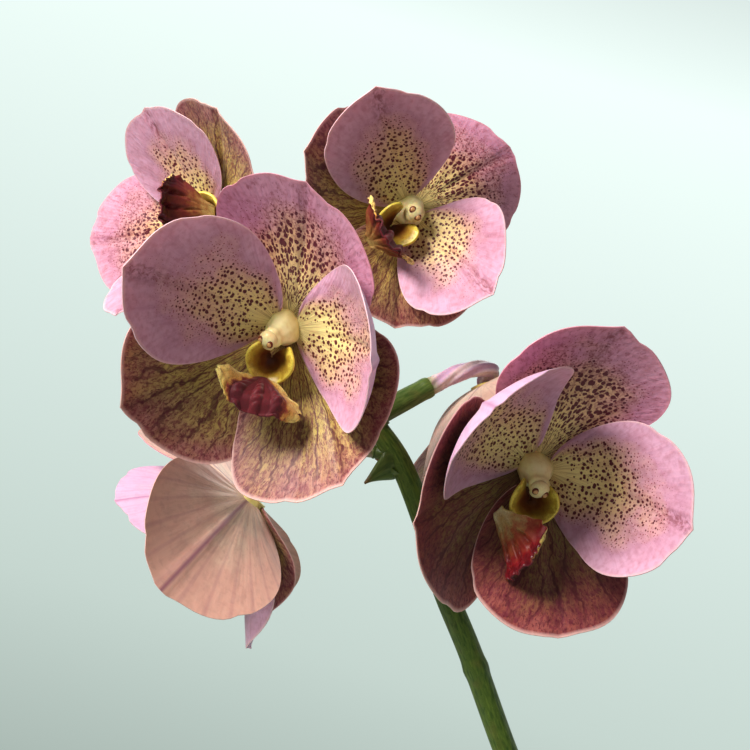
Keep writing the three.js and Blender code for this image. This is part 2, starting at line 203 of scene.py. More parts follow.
def apply_modifier(piece, kind, **settings):
    select_only(piece)
    bpy.ops.object.modifier_add(type=kind)
    modifier = piece.modifiers[-1]
    for name, value in settings.items():
        setattr(modifier, name, value)
    bpy.ops.object.modifier_apply(modifier=modifier.name)


def thicken(piece, thickness):
    """Makes a weighed sheet into a solid one, with the first material before it and the second behind."""
    apply_modifier(
        piece, "SOLIDIFY", thickness=thickness * MM, offset=0, vertex_group="body",
        thickness_vertex_group=THINNEST, material_offset=1,
    )


def close_seams(piece, gap=0.01):
    """Joins the rows of vertices that lie on each other, and turns the faces outwards."""
    select_only(piece)
    bpy.ops.object.mode_set(mode="EDIT")
    bpy.ops.mesh.select_all(action="SELECT")
    bpy.ops.mesh.remove_doubles(threshold=gap * MM)
    bpy.ops.mesh.dissolve_degenerate(threshold=0.0005 * MM)
    bpy.ops.mesh.normals_make_consistent(inside=False)
    bpy.ops.object.mode_set(mode="OBJECT")


def join_pieces(pieces, name):
    select_only(pieces[0])
    for piece in pieces:
        piece.select_set(True)
    bpy.ops.object.join()
    pieces[0].name = pieces[0].data.name = name
    return pieces[0]


def place_piece(piece, slot, *nodes, angle=50):
    """Smooths a finished piece and puts it on the plant, in the place of plain nodes."""
    select_only(piece)
    bpy.ops.object.shade_smooth_by_angle(angle=math.radians(angle))
    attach(piece, "root")
    if nodes:
        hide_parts(*nodes)


# %% Smooth lines and the tubes that follow them
CURVE_STEPS = 32
UNLIKELY_AHEAD = Vector((0.1, 1, 0.2))


def smooth_line(points, count):
    """count + 1 evenly spaced places on a smooth curve through the points."""
    path = [Vector(point) for point in points]
    path = [2 * path[0] - path[1], *path, 2 * path[-1] - path[-2]]
    fine = []
    for before, start, end, after in zip(path, path[1:], path[2:], path[3:]):
        back, here, on = (math.sqrt((b - a).length) for a, b in ((before, start), (start, end), (end, after)))
        first = (start - before) / back - (end - before) / (back + here) + (end - start) / here
        last = (end - start) / here - (after - start) / (here + on) + (after - end) / on
        first, last = first * here, last * here
        for i in range(CURVE_STEPS):
            t = i / CURVE_STEPS
            fine.append(
                (2 * t ** 3 - 3 * t ** 2 + 1) * start + (t ** 3 - 2 * t ** 2 + t) * first
                + (3 * t ** 2 - 2 * t ** 3) * end + (t ** 3 - t ** 2) * last
            )
    fine.append(path[-2])
    reached = [0]
    for a, b in zip(fine, fine[1:]):
        reached.append(reached[-1] + (b - a).length)
    line, j = [], 0
    for i in range(count + 1):
        goal = reached[-1] * i / count
        while j < len(fine) - 2 and reached[j + 1] < goal:
            j += 1
        line.append(fine[j].lerp(fine[j + 1], (goal - reached[j]) / (reached[j + 1] - reached[j])))
    return line


def line_frames(line):
    """For each place on a line: the place, its direction and two square directions that don't spin."""
    frames = []
    side = None
    for i, spot in enumerate(line):
        ahead = (line[min(i + 1, len(line) - 1)] - line[max(i - 1, 0)]).normalized()
        if side is None:
            side = ahead.cross(UNLIKELY_AHEAD).normalized()
        side = (side - ahead * side.dot(ahead)).normalized()
        frames.append((spot, ahead, side, ahead.cross(side)))
    return frames


def make_tube(name, points, rows, columns, radius_at, materials):
    """A closed tube along a smooth line. radius_at(t, angle) is its radius in millimetres.
    Its "line" attribute says how far along in mm, how far round in mm, and the share of the length."""
    frames = line_frames(smooth_line(points, rows))
    length = sum((b[0] - a[0]).length for a, b in zip(frames, frames[1:]))
    piece = start_grid(name, rows, columns, materials)

    def surface(u, v):
        i = round(u * rows)
        spot, _, side, other = frames[i]
        angle = math.pi * v
        radius = 0 if i in (0, rows) else radius_at(u, angle)
        place = spot + radius * (math.cos(angle) * side + math.sin(angle) * other)
        return place, (u * length, angle, u)

    shape_grid(piece, surface, "line")
    close_seams(piece)
    return piece


# %% [markdown]
# ## The six flowers' places
#
# Each flower has its own axes: x to its right, y towards its dorsal sepal and z out of its face. Its five
# petals and sepals are each given as a row: length, width, heading, lift, curl, cup, sideways bend and turn.
# The lip's row is heading, swing, lift and twist of its middle lobe, the fold of that lobe's two sides, its
# half width and its length, and hinge is where the lobe leaves the cup. lean is how far the column's tip
# leans, neck how long its straight foot is, and spray the line of its stalk back to the spike. Lengths are
# millimetres and angles degrees. The plain model was made from the same sizes, so both lie on each other.

# %% Flower sizes
FLOWERS = {
    "front_flower": dict(
        centre=(-142.4, 0, 547.2), yaw=-1, pitch=-15, roll=-17,
        lip=(262, 10, 66, 0, 22, -18, 17, 20), hinge=(0, -18, 8), lean=(-4.4, -3.6), neck=5,
        spray=[(-119, 40, 538), (-130, 28, 545), (-138, 14, 549)],
        dorsal_sepal=(51, 60, 89, 10, 23, 6, 8, -20),
        left_petal=(67, 51, 165, 17, 39, 7, 1, 10),
        right_petal=(66, 55, 14, 21, 82, 8, 1, 1),
        left_sepal=(63, 65, 226, 1, 47, 10, -7, -12),
        right_sepal=(59, 71, 318, 14, 45, 10, -7, 13),
    ),
    "top_flower": dict(
        centre=(-96, 60, 596), yaw=18, pitch=-4, roll=-54,
        lip=(270, 0, 101, 0, 16, 16, 16, 23), hinge=(-1, -24, 8), lean=(0, -2.5), neck=5,
        spray=[(-124, 54, 566), (-113, 66, 580), (-102, 74, 592)],
        dorsal_sepal=(51, 54, 86, -6, -7, -10, -3, -5),
        left_petal=(55, 49, 173, 22, 28, 6, 2, -19),
        right_petal=(49, 49, 3, 34, 28, 8, -4, 18),
        left_sepal=(51, 52, 215, 7, 29, 0, -3, 1),
        right_sepal=(45, 57, 315, 16, 7, 4, -2, -6),
    ),
    "left_flower": dict(
        centre=(-180, 85, 594), yaw=-45, pitch=4, roll=95,
        lip=(270, 0, 98, 0, 15, 15, 14.5, 29), hinge=(0, -17, 10), lean=(0, -3), neck=5,
        spray=[(-143, 57, 590), (-150, 76, 590), (-163, 96, 591)],
        dorsal_sepal=(56, 54, 93, 11, 21, 0, 0, 2),
        left_petal=(53, 52, 165, 40, 9, 1, -1, 11),
        right_petal=(48, 54, 6, 32, 10, 1, 0, -6),
        left_sepal=(55, 57, 212, 6, 10, 3, 0, -5),
        right_sepal=(54, 56, 315, 18, 27, 2, -2, 8),
    ),
    "right_flower": dict(
        centre=(-52.4, 0, 496.7), yaw=4, pitch=-3, roll=-30,
        lip=(288, 30, 38, 134, 20, 20, 13, 29), hinge=(-11.5, -16.5, 9), lean=(3, -6), neck=5,
        spray=[(-83, 42, 474), (-68, 40, 482), (-56, 22, 494)],
        dorsal_sepal=(59, 56, 99, 6, 44, 9, -5, 9),
        left_petal=(65, 58, 165, 17, 85, 11, -2, -1),
        right_petal=(65, 51, 15, 20, 56, 8, -3, -1),
        left_sepal=(59, 71, 223, 13, 55, 9, 4, -17),
        right_sepal=(60, 56, 310, 17, 28, -2, -6, -17),
    ),
    "low_flower": dict(
        centre=(-160, 40, 481), yaw=-89, pitch=-45, roll=54,
        lip=(279, 0, 60, 0, 40, 40, 8, 14), hinge=(0, -14, 9), lean=(0, -3), neck=5,
        spray=[(-112, 48, 500), (-127, 46, 501), (-146, 42, 494)],
        dorsal_sepal=(53, 56, 75, 6, 7, -1, 1, -17),
        left_petal=(55, 49, 216, 52, -12, -9, -12, -16),
        right_petal=(46, 55, 14, 38, 10, 1, -2, -10),
        left_sepal=(50, 42, 199, 34, 8, -10, -16, -4),
        right_sepal=(65, 59, 307, 20, 30, -8, -1, -11),
    ),
    "back_flower": dict(
        centre=(-64, 62, 523), yaw=64, pitch=-66, roll=-26,
        lip=(262, 0, 60, 0, 40, 40, 8, 14), hinge=(0, -14, 9), lean=(0, -3), neck=0.5,
        spray=[(-87, 52, 526), (-76, 55, 531), (-68, 58, 532.6), (-63, 60.5, 531.5)],
        dorsal_sepal=(54, 55, 88, 9, 8, 2, 0, 0),
        left_petal=(52, 56, 164, 31, 4, 2, 0, 1),
        right_petal=(52, 55, 27, 34, 4, 3, 0, -7),
        left_sepal=(55, 58, 205, 14, 22, 9, 0, 11),
        right_sepal=(51, 57, 323, 22, 2, -5, 1, -27),
    ),
}
# How far in front of the flower's middle each one starts, so that they overlap in order
LAYER = {"dorsal_sepal": -1.2, "left_petal": 0.6, "right_petal": 1.2, "left_sepal": -3.2, "right_sepal": -1.8}


def flower_axes(flower):
    """The matrix from a flower's own axes to the plant's, in millimetres."""
    yaw, pitch, roll = (math.radians(flower[name]) for name in ("yaw", "pitch", "roll"))
    facing = Vector((math.sin(yaw) * math.cos(pitch), -math.cos(yaw) * math.cos(pitch), math.sin(pitch)))
    upright = (Vector((0, 0, 1)) - facing * facing.z).normalized()
    level = upright.cross(facing)
    right = level * math.cos(roll) + upright * math.sin(roll)
    up = upright * math.cos(roll) - level * math.sin(roll)
    return Matrix.Translation(flower["centre"]) @ Matrix((right, up, facing)).transposed().to_4x4()


print(len(FLOWERS), "flowers with", len(LAYER), "petals and sepals each")

# %% [markdown]
# ## Petals and sepals: the shape
#
# A vanda's petal is a fan of soft flesh less than a millimetre thick. It stands on a narrow claw, widens to a
# round blade, is cupped across and curled along, and its margin waves a little. A flat grid is laid out as
# that fan by a formula, because no extrusion gives its even curl, and Solidify then makes both faces. The
# formula also writes where each vertex lies on the fan, in millimetres, so that the spots and veins follow
# the petal and not the room.

# %% Petal and sepal shape
TEPAL_THICKNESS = 0.8
TEPAL_ROWS, TEPAL_COLUMNS = 40, 72
FAN = math.radians(80)
CLAW = 2.2
SEAT = 4
FULL_SHOULDERS = 0.05
MARGIN_WAVE, MARGIN_RIPPLE, MARGIN_NICK, TIP_POINT = 0.010, 0.007, 0.02, 0.03
RAY_HEIGHT, MIDRIB_DEPTH, MIDRIB_WIDTH = 0.13, 0.9, 1.5


def tepal_surface(row, layer, axes, number):
    """The fan of one petal or sepal as a surface for shape_grid, with its small waves and its tip."""
    length, width, heading, lift, curl, cup, bend, turn = row
    draw = random.Random(number)
    phases = [draw.uniform(0, 2 * math.pi) for _ in range(6)]
    wave = draw.uniform(0.6, 1.1)
    lift, curl, turn = math.radians(lift), math.radians(curl), math.radians(turn)
    turned = turned_by(heading, "Z")

    def surface(reach, spread):
        angle = FAN * spread
        c, s = math.cos(angle), math.sin(angle)
        radius = length * c / (c * c + (length / width) ** 2 * s * s)
        radius *= 1 + FULL_SHOULDERS * math.sin(2 * angle) ** 2
        edge = MARGIN_WAVE * math.sin(5 * angle + phases[0])
        edge += MARGIN_RIPPLE * math.sin(13 * angle + phases[1])
        edge -= MARGIN_NICK * max(0, math.sin(9 * angle + phases[4])) ** 12
        point = TIP_POINT * math.exp(-(angle / 0.07) ** 2)
        radius *= 1 + (edge + point) * smooth(reach, 0.5, 1)
        along = reach * radius * c / length
        offset = (1 - reach) * CLAW * spread + reach * radius * s * (1 + 0.2 * (along - 0.5))
        across = offset + bend * along ** 2
        hollow = cup * (across / (width / 2)) ** 2 * (1 - math.exp(-4 * along))
        hollow += wave * reach ** 3 * math.sin(3.2 * angle + phases[2])
        hollow += 0.45 * wave * reach ** 5 * math.sin(8 * angle + phases[3])
        hollow += RAY_HEIGHT * math.sin(24 * angle) * smooth(reach, 0.08, 0.3) * (1 - smooth(reach, 0.6, 1))
        hollow -= MIDRIB_DEPTH * math.exp(-(offset / MIDRIB_WIDTH) ** 2) * smooth(along, 0.1, 0.5)
        twist = turn * (1 - math.exp(-5 * along))
        y = across * math.cos(twist) - hollow * math.sin(twist)
        z = across * math.sin(twist) + hollow * math.cos(twist)
        bow = curl * along
        x = length / curl * math.sin(bow) - z * math.sin(bow)
        rise = length / curl * (1 - math.cos(bow)) + z * math.cos(bow)
        spot = Vector((
            x * math.cos(lift) - rise * math.sin(lift) + SEAT,
            y,
            x * math.sin(lift) + rise * math.cos(lift) + layer,
        ))
        return axes @ (turned @ spot), (along * length, offset, reach), (reach * radius, angle, number)

    return surface


def make_tepal(name, row, layer, axes, number, materials):
    """materials are for the face and the back."""
    piece = start_grid(name, TEPAL_ROWS, TEPAL_COLUMNS, materials)
    weigh_grid(piece, lambda reach, spread: 1 - 0.6 * smooth(reach, 0.75, 1))
    shape_grid(piece, tepal_surface(row, layer, axes, number), "place", "fan")
    thicken(piece, TEPAL_THICKNESS)
    return piece


# %% [markdown]
# ## Petals and sepals: the finish
#
# The flesh is matt and slightly velvety, and lets light through. Its pigment is what makes this plant: the
# petals are rose at the margin and cream towards the claw, with round maroon spots. The dorsal sepal has
# longer spots that run together. The two lateral sepals are olive with maroon flecks and dark veins. They
# could be painted by hand as pictures, but a recipe of layers keeps its edge at any distance, and one recipe
# serves all three with other colours and sizes. Sizes are millimetres on the petal. The flesh's own cells are
# too fine to show, and its grain is drawn at 2.2 mm. The back is paler and streaked.

# %% Helpers for pigment
PATCH_SIZE, GRAIN_SIZE, STROKE_SIZE = 13, 2.2, 0.7
FLESH = {
    "Roughness": 0.48, "IOR": 1.4, "Subsurface_Weight": 0.22, "Subsurface_Scale": 0.0018,
    "Subsurface_Radius": (1.0, 0.45, 0.35), "Sheen_Weight": 0.08, "Sheen_Roughness": 0.4,
}


def petal_places(tree):
    """Sockets that follow a petal. off_middle and radius are in mm, reach is the share of the way to the
    margin, and swing the angle from the midline. apart differs from petal to petal. flat is a place on the
    petal laid flat, in mm, and fanned is one that makes what is drawn on it longer outwards."""
    along, across, reach = read_values(tree, "place")
    radius, swing, number = read_values(tree, "fan")
    apart = add_node(tree, "Math", number, 61.7, operation="MULTIPLY")
    shifted = add_node(tree, "Math", along, apart, operation="ADD")
    outwards = add_node(tree, "Math", radius, 0.62, apart, operation="MULTIPLY_ADD")
    round_ways = add_node(tree, "Math", swing, 27, operation="MULTIPLY")
    return SimpleNamespace(
        reach=reach, radius=radius, swing=swing, apart=apart,
        off_middle=add_node(tree, "Math", across, operation="ABSOLUTE"),
        flat=add_node(tree, "CombineXYZ", shifted, across, apart),
        fanned=add_node(tree, "CombineXYZ", outwards, round_ways, apart),
    )


def fine_rays(tree, at, around, outwards, detail):
    """Noise drawn out into rays from the claw, as the veins under the skin."""
    ray_round = add_node(tree, "Math", at.swing, around, operation="MULTIPLY")
    ray_out = add_node(tree, "Math", at.radius, outwards, operation="MULTIPLY")
    place = add_node(tree, "CombineXYZ", ray_round, ray_out, at.apart)
    return add_node(tree, "TexNoise", place, 1, detail)


def unsettle(tree, where, grain, amount):
    """The same place moved about a little, so that lines and spots aren't too regular."""
    noise = add_node(tree, "TexNoise", where, 1 / grain, 2, output=1)
    centred = add_node(tree, "VectorMath", noise, (0.5, 0.5, 0.5), operation="SUBTRACT")
    scaled = add_node(tree, "VectorMath", centred, (2 * amount,) * 3, operation="MULTIPLY")
    return add_node(tree, "VectorMath", where, scaled, operation="ADD")


# %% Spots and nets of pigment
def pigment_spots(tree, where, pitch, smallest, largest, mask):
    """One round spot in each cell of a loose net. Sizes are shares of the pitch, and shrink with the mask."""
    cells = add_node(tree, "TexVoronoi", where, 1 / pitch, 0, 0.5, 2, 0.8, voronoi_dimensions="2D")
    luck = add_node(tree, "SeparateColor", cells.node.outputs["Color"])
    size = add_node(tree, "MapRange", luck, 0, 1, smallest, largest)
    size = add_node(tree, "Math", size, mask, operation="MULTIPLY")
    outer = add_node(tree, "Math", size, 0.06, operation="ADD")
    inner = add_node(tree, "Math", size, 0.05, operation="SUBTRACT")
    shown = add_node(tree, "MapRange", mask, 0.1, 0.4, **SOFT)
    return add_node(tree, "MapRange", cells, outer, inner, 0, shown, **SOFT)


def pigment_net(tree, where, pitch, thin, thick, mask):
    """Lines between the cells of a loose net. thin and thick are shares of the pitch."""
    edges = add_node(
        tree, "TexVoronoi", where, 1 / pitch, voronoi_dimensions="2D", feature="DISTANCE_TO_EDGE",
    )
    return add_node(tree, "MapRange", edges, thick, thin, 0, mask, **SOFT)


# %% Layers of a face: clouds, rays, streak and flecks, each as a factor and its shade
def cloudy(tree, at, recipe):
    shade, amount = recipe["mottle"]
    where = add_node(tree, "MapRange", at.reach, 0.2, 0.55, 0, amount)
    yield add_node(tree, "MapRange", at.fine, 0.45, 0.72, 0, where), shade
    shade, amount = recipe["rays"]
    yield add_node(tree, "MapRange", at.rays, 0.5, 0.72, 0, amount), shade


def streaked(tree, at, recipe):
    """A dark feathered streak that runs in along the midline from the tip."""
    shade, wide, amount = recipe["streak"]
    near_tip = add_node(tree, "MapRange", at.reach, 0.5, 0.85, 0, amount)
    near_tip = add_node(tree, "MapRange", at.off_middle, wide, 0.2, 0, near_tip, **SOFT)
    strokes = add_node(tree, "TexNoise", at.drawn, 1 / STROKE_SIZE, 4, 0.6)
    yield add_node(tree, "MapRange", strokes, 0.42, 0.6, 0, near_tip), shade


def flecked(tree, at, recipe):
    """Flecks of pigment drawn out along the petal, like worn brush strokes."""
    for shade, grain, low, high, amount in recipe["flecks"]:
        strokes = add_node(tree, "TexNoise", at.drawn, 1 / grain, 5, 0.62)
        yield add_node(tree, "MapRange", strokes, low, high, 0, amount), shade


# %% Layers of a face: nets, veins, spots, throat and rim
def netted(tree, at, recipe):
    """Nets of pigment, each between two reaches and within a side angle."""
    for shade, pitch, thick, begin, end, wide, amount in recipe["nets"]:
        where = add_node(tree, "MapRange", at.outward, begin, begin + 0.2, 0, amount, **SOFT)
        where = add_node(tree, "MapRange", at.outward, end + 0.15, end, 0, where, **SOFT)
        where = add_node(tree, "MapRange", at.side, wide + 0.4, wide, 0, where, **SOFT)
        where = add_node(tree, "MapRange", at.fine, 0.36, 0.56, 0, where, **SOFT)
        yield pigment_net(tree, at.fanned, pitch, 0.02, thick, where), shade


def veined(tree, at, recipe):
    """Veins from the claw outwards, as dark stripes that wander and have feathered sides."""
    shade, count, begin, end, narrow, amount = recipe["stripes"]
    wander = add_node(tree, "MapRange", at.patches, 0.2, 0.8, -4, 4)
    stripe = add_node(tree, "Math", at.swing, count, wander, operation="MULTIPLY_ADD")
    stripe = add_node(tree, "Math", at.fine, 1.2, stripe, operation="MULTIPLY_ADD")
    stripe = add_node(tree, "Math", stripe, operation="SINE")
    where = add_node(tree, "MapRange", at.reach, end, begin, 0, amount, **SOFT)
    yield add_node(tree, "MapRange", stripe, narrow, 1, 0, where, **SOFT), shade


def spotted(tree, at, recipe):
    """Spots, from the smallest to the largest."""
    for shade, laid, pitch, smallest, largest, begin, end, wide, amount in recipe["spots"]:
        where = add_node(tree, "MapRange", at.outward, begin, begin + 0.12, **SOFT)
        where = add_node(tree, "MapRange", at.outward, end + 0.2, end - 0.1, 0, where, **SOFT)
        where = add_node(tree, "MapRange", at.side, wide + 0.3, wide, 0, where, **SOFT)
        spot = pigment_spots(tree, getattr(at, laid), pitch, smallest, largest, where)
        yield add_node(tree, "Math", spot, amount, operation="MULTIPLY"), shade


def edged(tree, at, recipe):
    """Short brown lines inside the throat, and a thin rim."""
    shade, amount = recipe["throat"]
    where = add_node(tree, "MapRange", at.radius, 12, 3, 0, amount)
    yield add_node(tree, "MapRange", at.rays, 0.46, 0.6, 0, where), shade
    shade, amount = recipe["rim"]
    yield add_node(tree, "MapRange", at.reach, 0.972, 0.995, 0, amount), shade


# %% Face of a petal or sepal, painted by a recipe
FACE_LAYERS = (cloudy, streaked, netted, flecked, veined, spotted, edged)


def face_skin(name, recipe):
    material, tree, shader = start_material(name, **FLESH)
    at = petal_places(tree)
    at.side = add_node(tree, "Math", at.swing, operation="ABSOLUTE")
    at.patches = add_node(tree, "TexNoise", at.flat, 1 / PATCH_SIZE, 3)
    at.fine = add_node(tree, "TexNoise", at.flat, 1 / GRAIN_SIZE, 4)
    at.rays = fine_rays(tree, at, 34, 0.07, 2)
    at.flat = unsettle(tree, at.flat, 2.5, 0.35)
    at.fanned = unsettle(tree, at.fanned, 3.5, 0.9)
    at.drawn = add_node(tree, "VectorMath", at.fanned, (0.42, 1, 1), operation="MULTIPLY")

    # How far out the colour counts: unevenly, and sooner at the sides than along the middle
    uneven = add_node(tree, "MapRange", at.patches, 0.3, 0.7, -recipe["uneven"], recipe["uneven"])
    at.outward = add_node(tree, "Math", at.side, recipe["sides"], at.reach, operation="MULTIPLY_ADD")
    at.outward = add_node(tree, "Math", at.outward, uneven, operation="ADD")
    ground = add_node(tree, "ValToRGB", at.outward, stops=recipe["ground"])
    layers = [layer for lay in FACE_LAYERS for layer in lay(tree, at, recipe)]
    relief = add_node(tree, "Math", at.fine, 0.7, at.rays, operation="MULTIPLY_ADD")
    finish_material(tree, shader, ground, layers, relief, 0.5, 0.4)
    return material


# %% The three faces
# The rows of a recipe: flecks are shade, grain, low, high and amount. nets are shade, pitch, thickness, two
# reaches, side angle and amount. stripes are shade, number to a radian, two reaches, narrowness and amount.
# spots are shade, how they are laid, pitch, smallest and largest size, two reaches, side angle and amount.
PETAL_FACE = face_skin("vanda petal flesh, spotted face", {
    "ground": [
        (0.0, "EFE3A4"), (0.26, "E4D294"), (0.46, "D8BA94"),
        (0.64, "CBA0A4"), (0.8, "C497AE"), (1.0, "D0A6BE"),
    ],
    "uneven": 0.14, "sides": 0.12,
    "mottle": ("A36A72", 0.4), "rays": ("A0637A", 0.22), "streak": ("7A3038", 5, 0.7),
    "nets": [], "flecks": [],
    "stripes": ("A06070", 44, 0.3, 0.9, 0.6, 0.14),
    "spots": [
        ("8A3A4C", "flat", 1.3, 0.02, 0.24, 0.12, 0.76, 1.05, 0.75),
        ("5A1026", "flat", 2.0, 0.19, 0.35, 0.09, 0.6, 0.95, 0.97),
    ],
    "throat": ("80602C", 0.5), "rim": ("E6C4C6", 0.6),
})
DORSAL_FACE = face_skin("vanda dorsal sepal flesh, spotted face", {
    "ground": [
        (0.0, "EBDD96"), (0.3, "DFCB90"), (0.55, "D2AE8C"),
        (0.72, "C6959A"), (0.86, "BF8AA2"), (1.0, "C997AF"),
    ],
    "uneven": 0.1, "sides": 0.08,
    "mottle": ("94585E", 0.45), "rays": ("8F5064", 0.25), "streak": ("6E2A36", 6, 0.4),
    "nets": [("74303F", 1.4, 0.2, 0.42, 0.74, 0.3, 0.55)],
    "flecks": [("7C3446", 0.7, 0.54, 0.66, 0.45)],
    "stripes": ("8A4A56", 44, 0.3, 0.9, 0.6, 0.22),
    "spots": [
        ("7A4A34", "fanned", 1.2, 0.3, 0.55, 0.05, 0.13, 1.2, 0.85),
        ("77303C", "flat", 1.4, 0.04, 0.3, 0.12, 0.82, 0.95, 0.8),
        ("58102A", "fanned", 1.55, 0.24, 0.46, 0.1, 0.66, 1.2, 0.95),
    ],
    "throat": ("6A4424", 0.8), "rim": ("D79AA8", 0.6),
})
LATERAL_RECIPE = {
    "ground": [
        (0.0, "C0B264"), (0.4, "C8B866"), (0.65, "C6B06A"),
        (0.82, "BC9C70"), (0.93, "B0866E"), (1.0, "B08078"),
    ],
    "uneven": 0.12, "sides": 0.05,
    "mottle": ("84503C", 0.3), "rays": ("7A4038", 0.3), "streak": ("5E2430", 4, 0.4), "nets": [],
    "flecks": [
        ("84484A", 2.6, 0.46, 0.64, 0.4), ("742C40", 0.6, 0.46, 0.6, 0.7), ("541A2A", 0.34, 0.53, 0.63, 0.7),
    ],
    "stripes": ("581E2E", 36, 0.8, 1.08, 0.82, 0.72),
    "spots": [],
    "throat": ("4A2A18", 0.7), "rim": ("DDB9B4", 0.8),
}
LATERAL_FACE = face_skin("vanda lateral sepal flesh, netted face", LATERAL_RECIPE)
# A darker copy of the lateral face for the right flower: painted shade, since that flower's sepals stand in
# shade.
LATERAL_SHADED_FACE = face_skin("vanda lateral sepal flesh, netted face in painted shade", {
    **LATERAL_RECIPE, "mottle": ("5A2430", 0.5),
    "ground": [
        (0.0, "9A8A50"), (0.4, "97824E"), (0.65, "94724E"),
        (0.82, "925C4C"), (0.93, "985850"), (1.0, "A2625C"),
    ],
})
print("faces of petal, dorsal sepal and lateral sepal")


# %% Backs: pinkish tan on sepals with a purple midrib, pale lilac on petals
def back_skin(name, base, outer, streak, midrib, strength):
    material, tree, shader = start_material(name, **FLESH)
    at = petal_places(tree)
    patches = add_node(tree, "TexNoise", at.flat, 1 / 11, 3)
    uneven = add_node(tree, "MapRange", patches, 0.3, 0.7, -0.25, 0.25)
    outward = add_node(tree, "Math", at.reach, uneven, operation="ADD")
    share = add_node(tree, "MapRange", outward, 0.1, 0.85, **SOFT)
    colour = add_node(tree, "Mix", share, linear(base), linear(outer), data_type="RGBA")
    rays = fine_rays(tree, at, 30, 0.12, 3)
    grain = add_node(tree, "TexNoise", at.fanned, 1 / 1.3, 4)
    veins = add_node(tree, "Math", at.swing, 45, operation="MULTIPLY")
    veins = add_node(tree, "Math", veins, operation="SINE")
    layers = [
        (add_node(tree, "MapRange", rays, 0.48, 0.68, 0, strength), streak),
        (add_node(tree, "MapRange", grain, 0.5, 0.7, 0, strength), streak),
        (add_node(tree, "MapRange", veins, 0.7, 1, 0, 0.5 * strength), midrib),
        (add_node(tree, "MapRange", at.off_middle, 1.3, 0.2, 0, 0.75), midrib),
    ]
    relief = add_node(tree, "Math", grain, 0.6, rays, operation="MULTIPLY_ADD")
    finish_material(tree, shader, colour, layers, relief, 0.4, 0.3)
    return material


SEPAL_BACK = back_skin("vanda sepal flesh, tan back", "D6BEAA", "CCA496", "B08C82", "85546C", 0.34)
PETAL_BACK = back_skin("vanda petal flesh, lilac back", "E2CFC6", "D6B2CC", "BC8CAE", "B083A6", 0.3)
print("backs of sepal and petal")

# %% Make the thirty petals and sepals
SKINS = {
    "dorsal_sepal": ((DORSAL_FACE, SEPAL_BACK), "sepal"),
    "left_petal": ((PETAL_FACE, PETAL_BACK), "petal"),
    "right_petal": ((PETAL_FACE, PETAL_BACK), "petal"),
    "left_sepal": ((LATERAL_FACE, SEPAL_BACK), "sepal"),
    "right_sepal": ((LATERAL_FACE, SEPAL_BACK), "sepal"),
}
TEPALS = [(flower_name, part) for flower_name in FLOWERS for part in LAYER]
for number, (flower_name, part) in enumerate(TEPALS, 1):
    flower = FLOWERS[flower_name]
    skins, slot = SKINS[part]
    # The right flower's lateral sepals take the darker copy of their face, with painted shade.
    if flower_name == "right_flower" and skins[0] is LATERAL_FACE:
        skins = (LATERAL_SHADED_FACE, SEPAL_BACK)
    node = f"{flower_name}_{part}"
    piece = make_tepal(node + "_flesh", flower[part], LAYER[part], flower_axes(flower), number, skins)
    place_piece(piece, slot, node)
print(len(TEPALS), "petals and sepals")

# %% [markdown]
# ## Lips
#
# The lip is the sixth petal, and stands below the column. Two side lobes make a fleshy yellow cup, open above
# and brown inside. The middle lobe reaches out from it like a fan, cream at its foot, with lumpy maroon keels
# on top and toothed yellow wings at its ends. Cup and lobe are each a grid laid out by a formula and
# thickened, since both curve two ways at once. Each flower's lip is turned and folded in its own way.

# %% Lip finishes
WAXY_FLESH = {
    "Roughness": 0.34, "IOR": 1.42, "Subsurface_Weight": 0.3, "Subsurface_Scale": 0.002,
    "Subsurface_Radius": (1.0, 0.55, 0.3), "Coat_Weight": 0.08, "Coat_Roughness": 0.3,
}


def lip_skin(name, stops, marks, amount, by_side=False, **finish):
    """Flesh whose colour runs with the lip attribute: from foot to rim, or from its middle to its side."""
    material, tree, shader = start_material(name, **{**WAXY_FLESH, **finish})
    out, side = read_values(tree, "lip")[:2]
    side = add_node(tree, "Math", side, operation="ABSOLUTE")
    spot = add_node(tree, "TexCoord", output=3)
    mottle = add_node(tree, "TexNoise", spot, 1 / (2.5 * MM), 4)
    uneven = add_node(tree, "MapRange", mottle, 0.3, 0.7, -0.12, 0.12)
    place = add_node(tree, "Math", side if by_side else out, uneven, operation="ADD")
    colour = add_node(tree, "ValToRGB", place, stops=stops)
    grain = add_node(tree, "TexNoise", spot, 1 / (0.6 * MM), 3)
    freckles = add_node(tree, "MapRange", grain, 0.52, 0.68, 0, amount)
    finish_material(tree, shader, colour, [(freckles, marks)], grain, 0.3, 0.2)
    return material


CUP_OUTSIDE = lip_skin("waxy yellow lip flesh", [
    (0.0, "E6DCB0"), (0.5, "CDB85A"), (1.0, "D9C758"),
], "A8722C", 0.15)
CUP_INSIDE = lip_skin("waxy brown lip throat", [
    (0.0, "5E2A18"), (0.3, "8A5024"), (0.6, "A88434"), (0.85, "BFA542"), (0.95, "DCCB5C"),
], "6A3018", 0.3)
LOBE_TOP = lip_skin("velvety maroon lip flesh", [
    (0.0, "6E1824"), (0.5, "5E1220"), (0.6, "8E4028"), (0.72, "CBA050"), (1.0, "E6D688"),
], "300810", 0.45, by_side=True, Sheen_Weight=0.2, Roughness=0.58, Coat_Weight=0)
LOBE_UNDER = lip_skin("cream and coral lip underside", [
    (0.0, "DDD2A6"), (0.26, "CBAA72"), (0.46, "BE664A"), (0.72, "A02A34"), (0.95, "5E101E"),
], "7A3428", 0.35)
LOBE_DARK = lip_skin("olive and maroon lip underside", [
    (0.0, "BCA86E"), (0.25, "94683E"), (0.45, "7A3A2E"), (0.7, "66202A"), (0.95, "46101C"),
], "4A1A1E", 0.4)
print("lip finishes: cup inside and outside, lobe above and below")

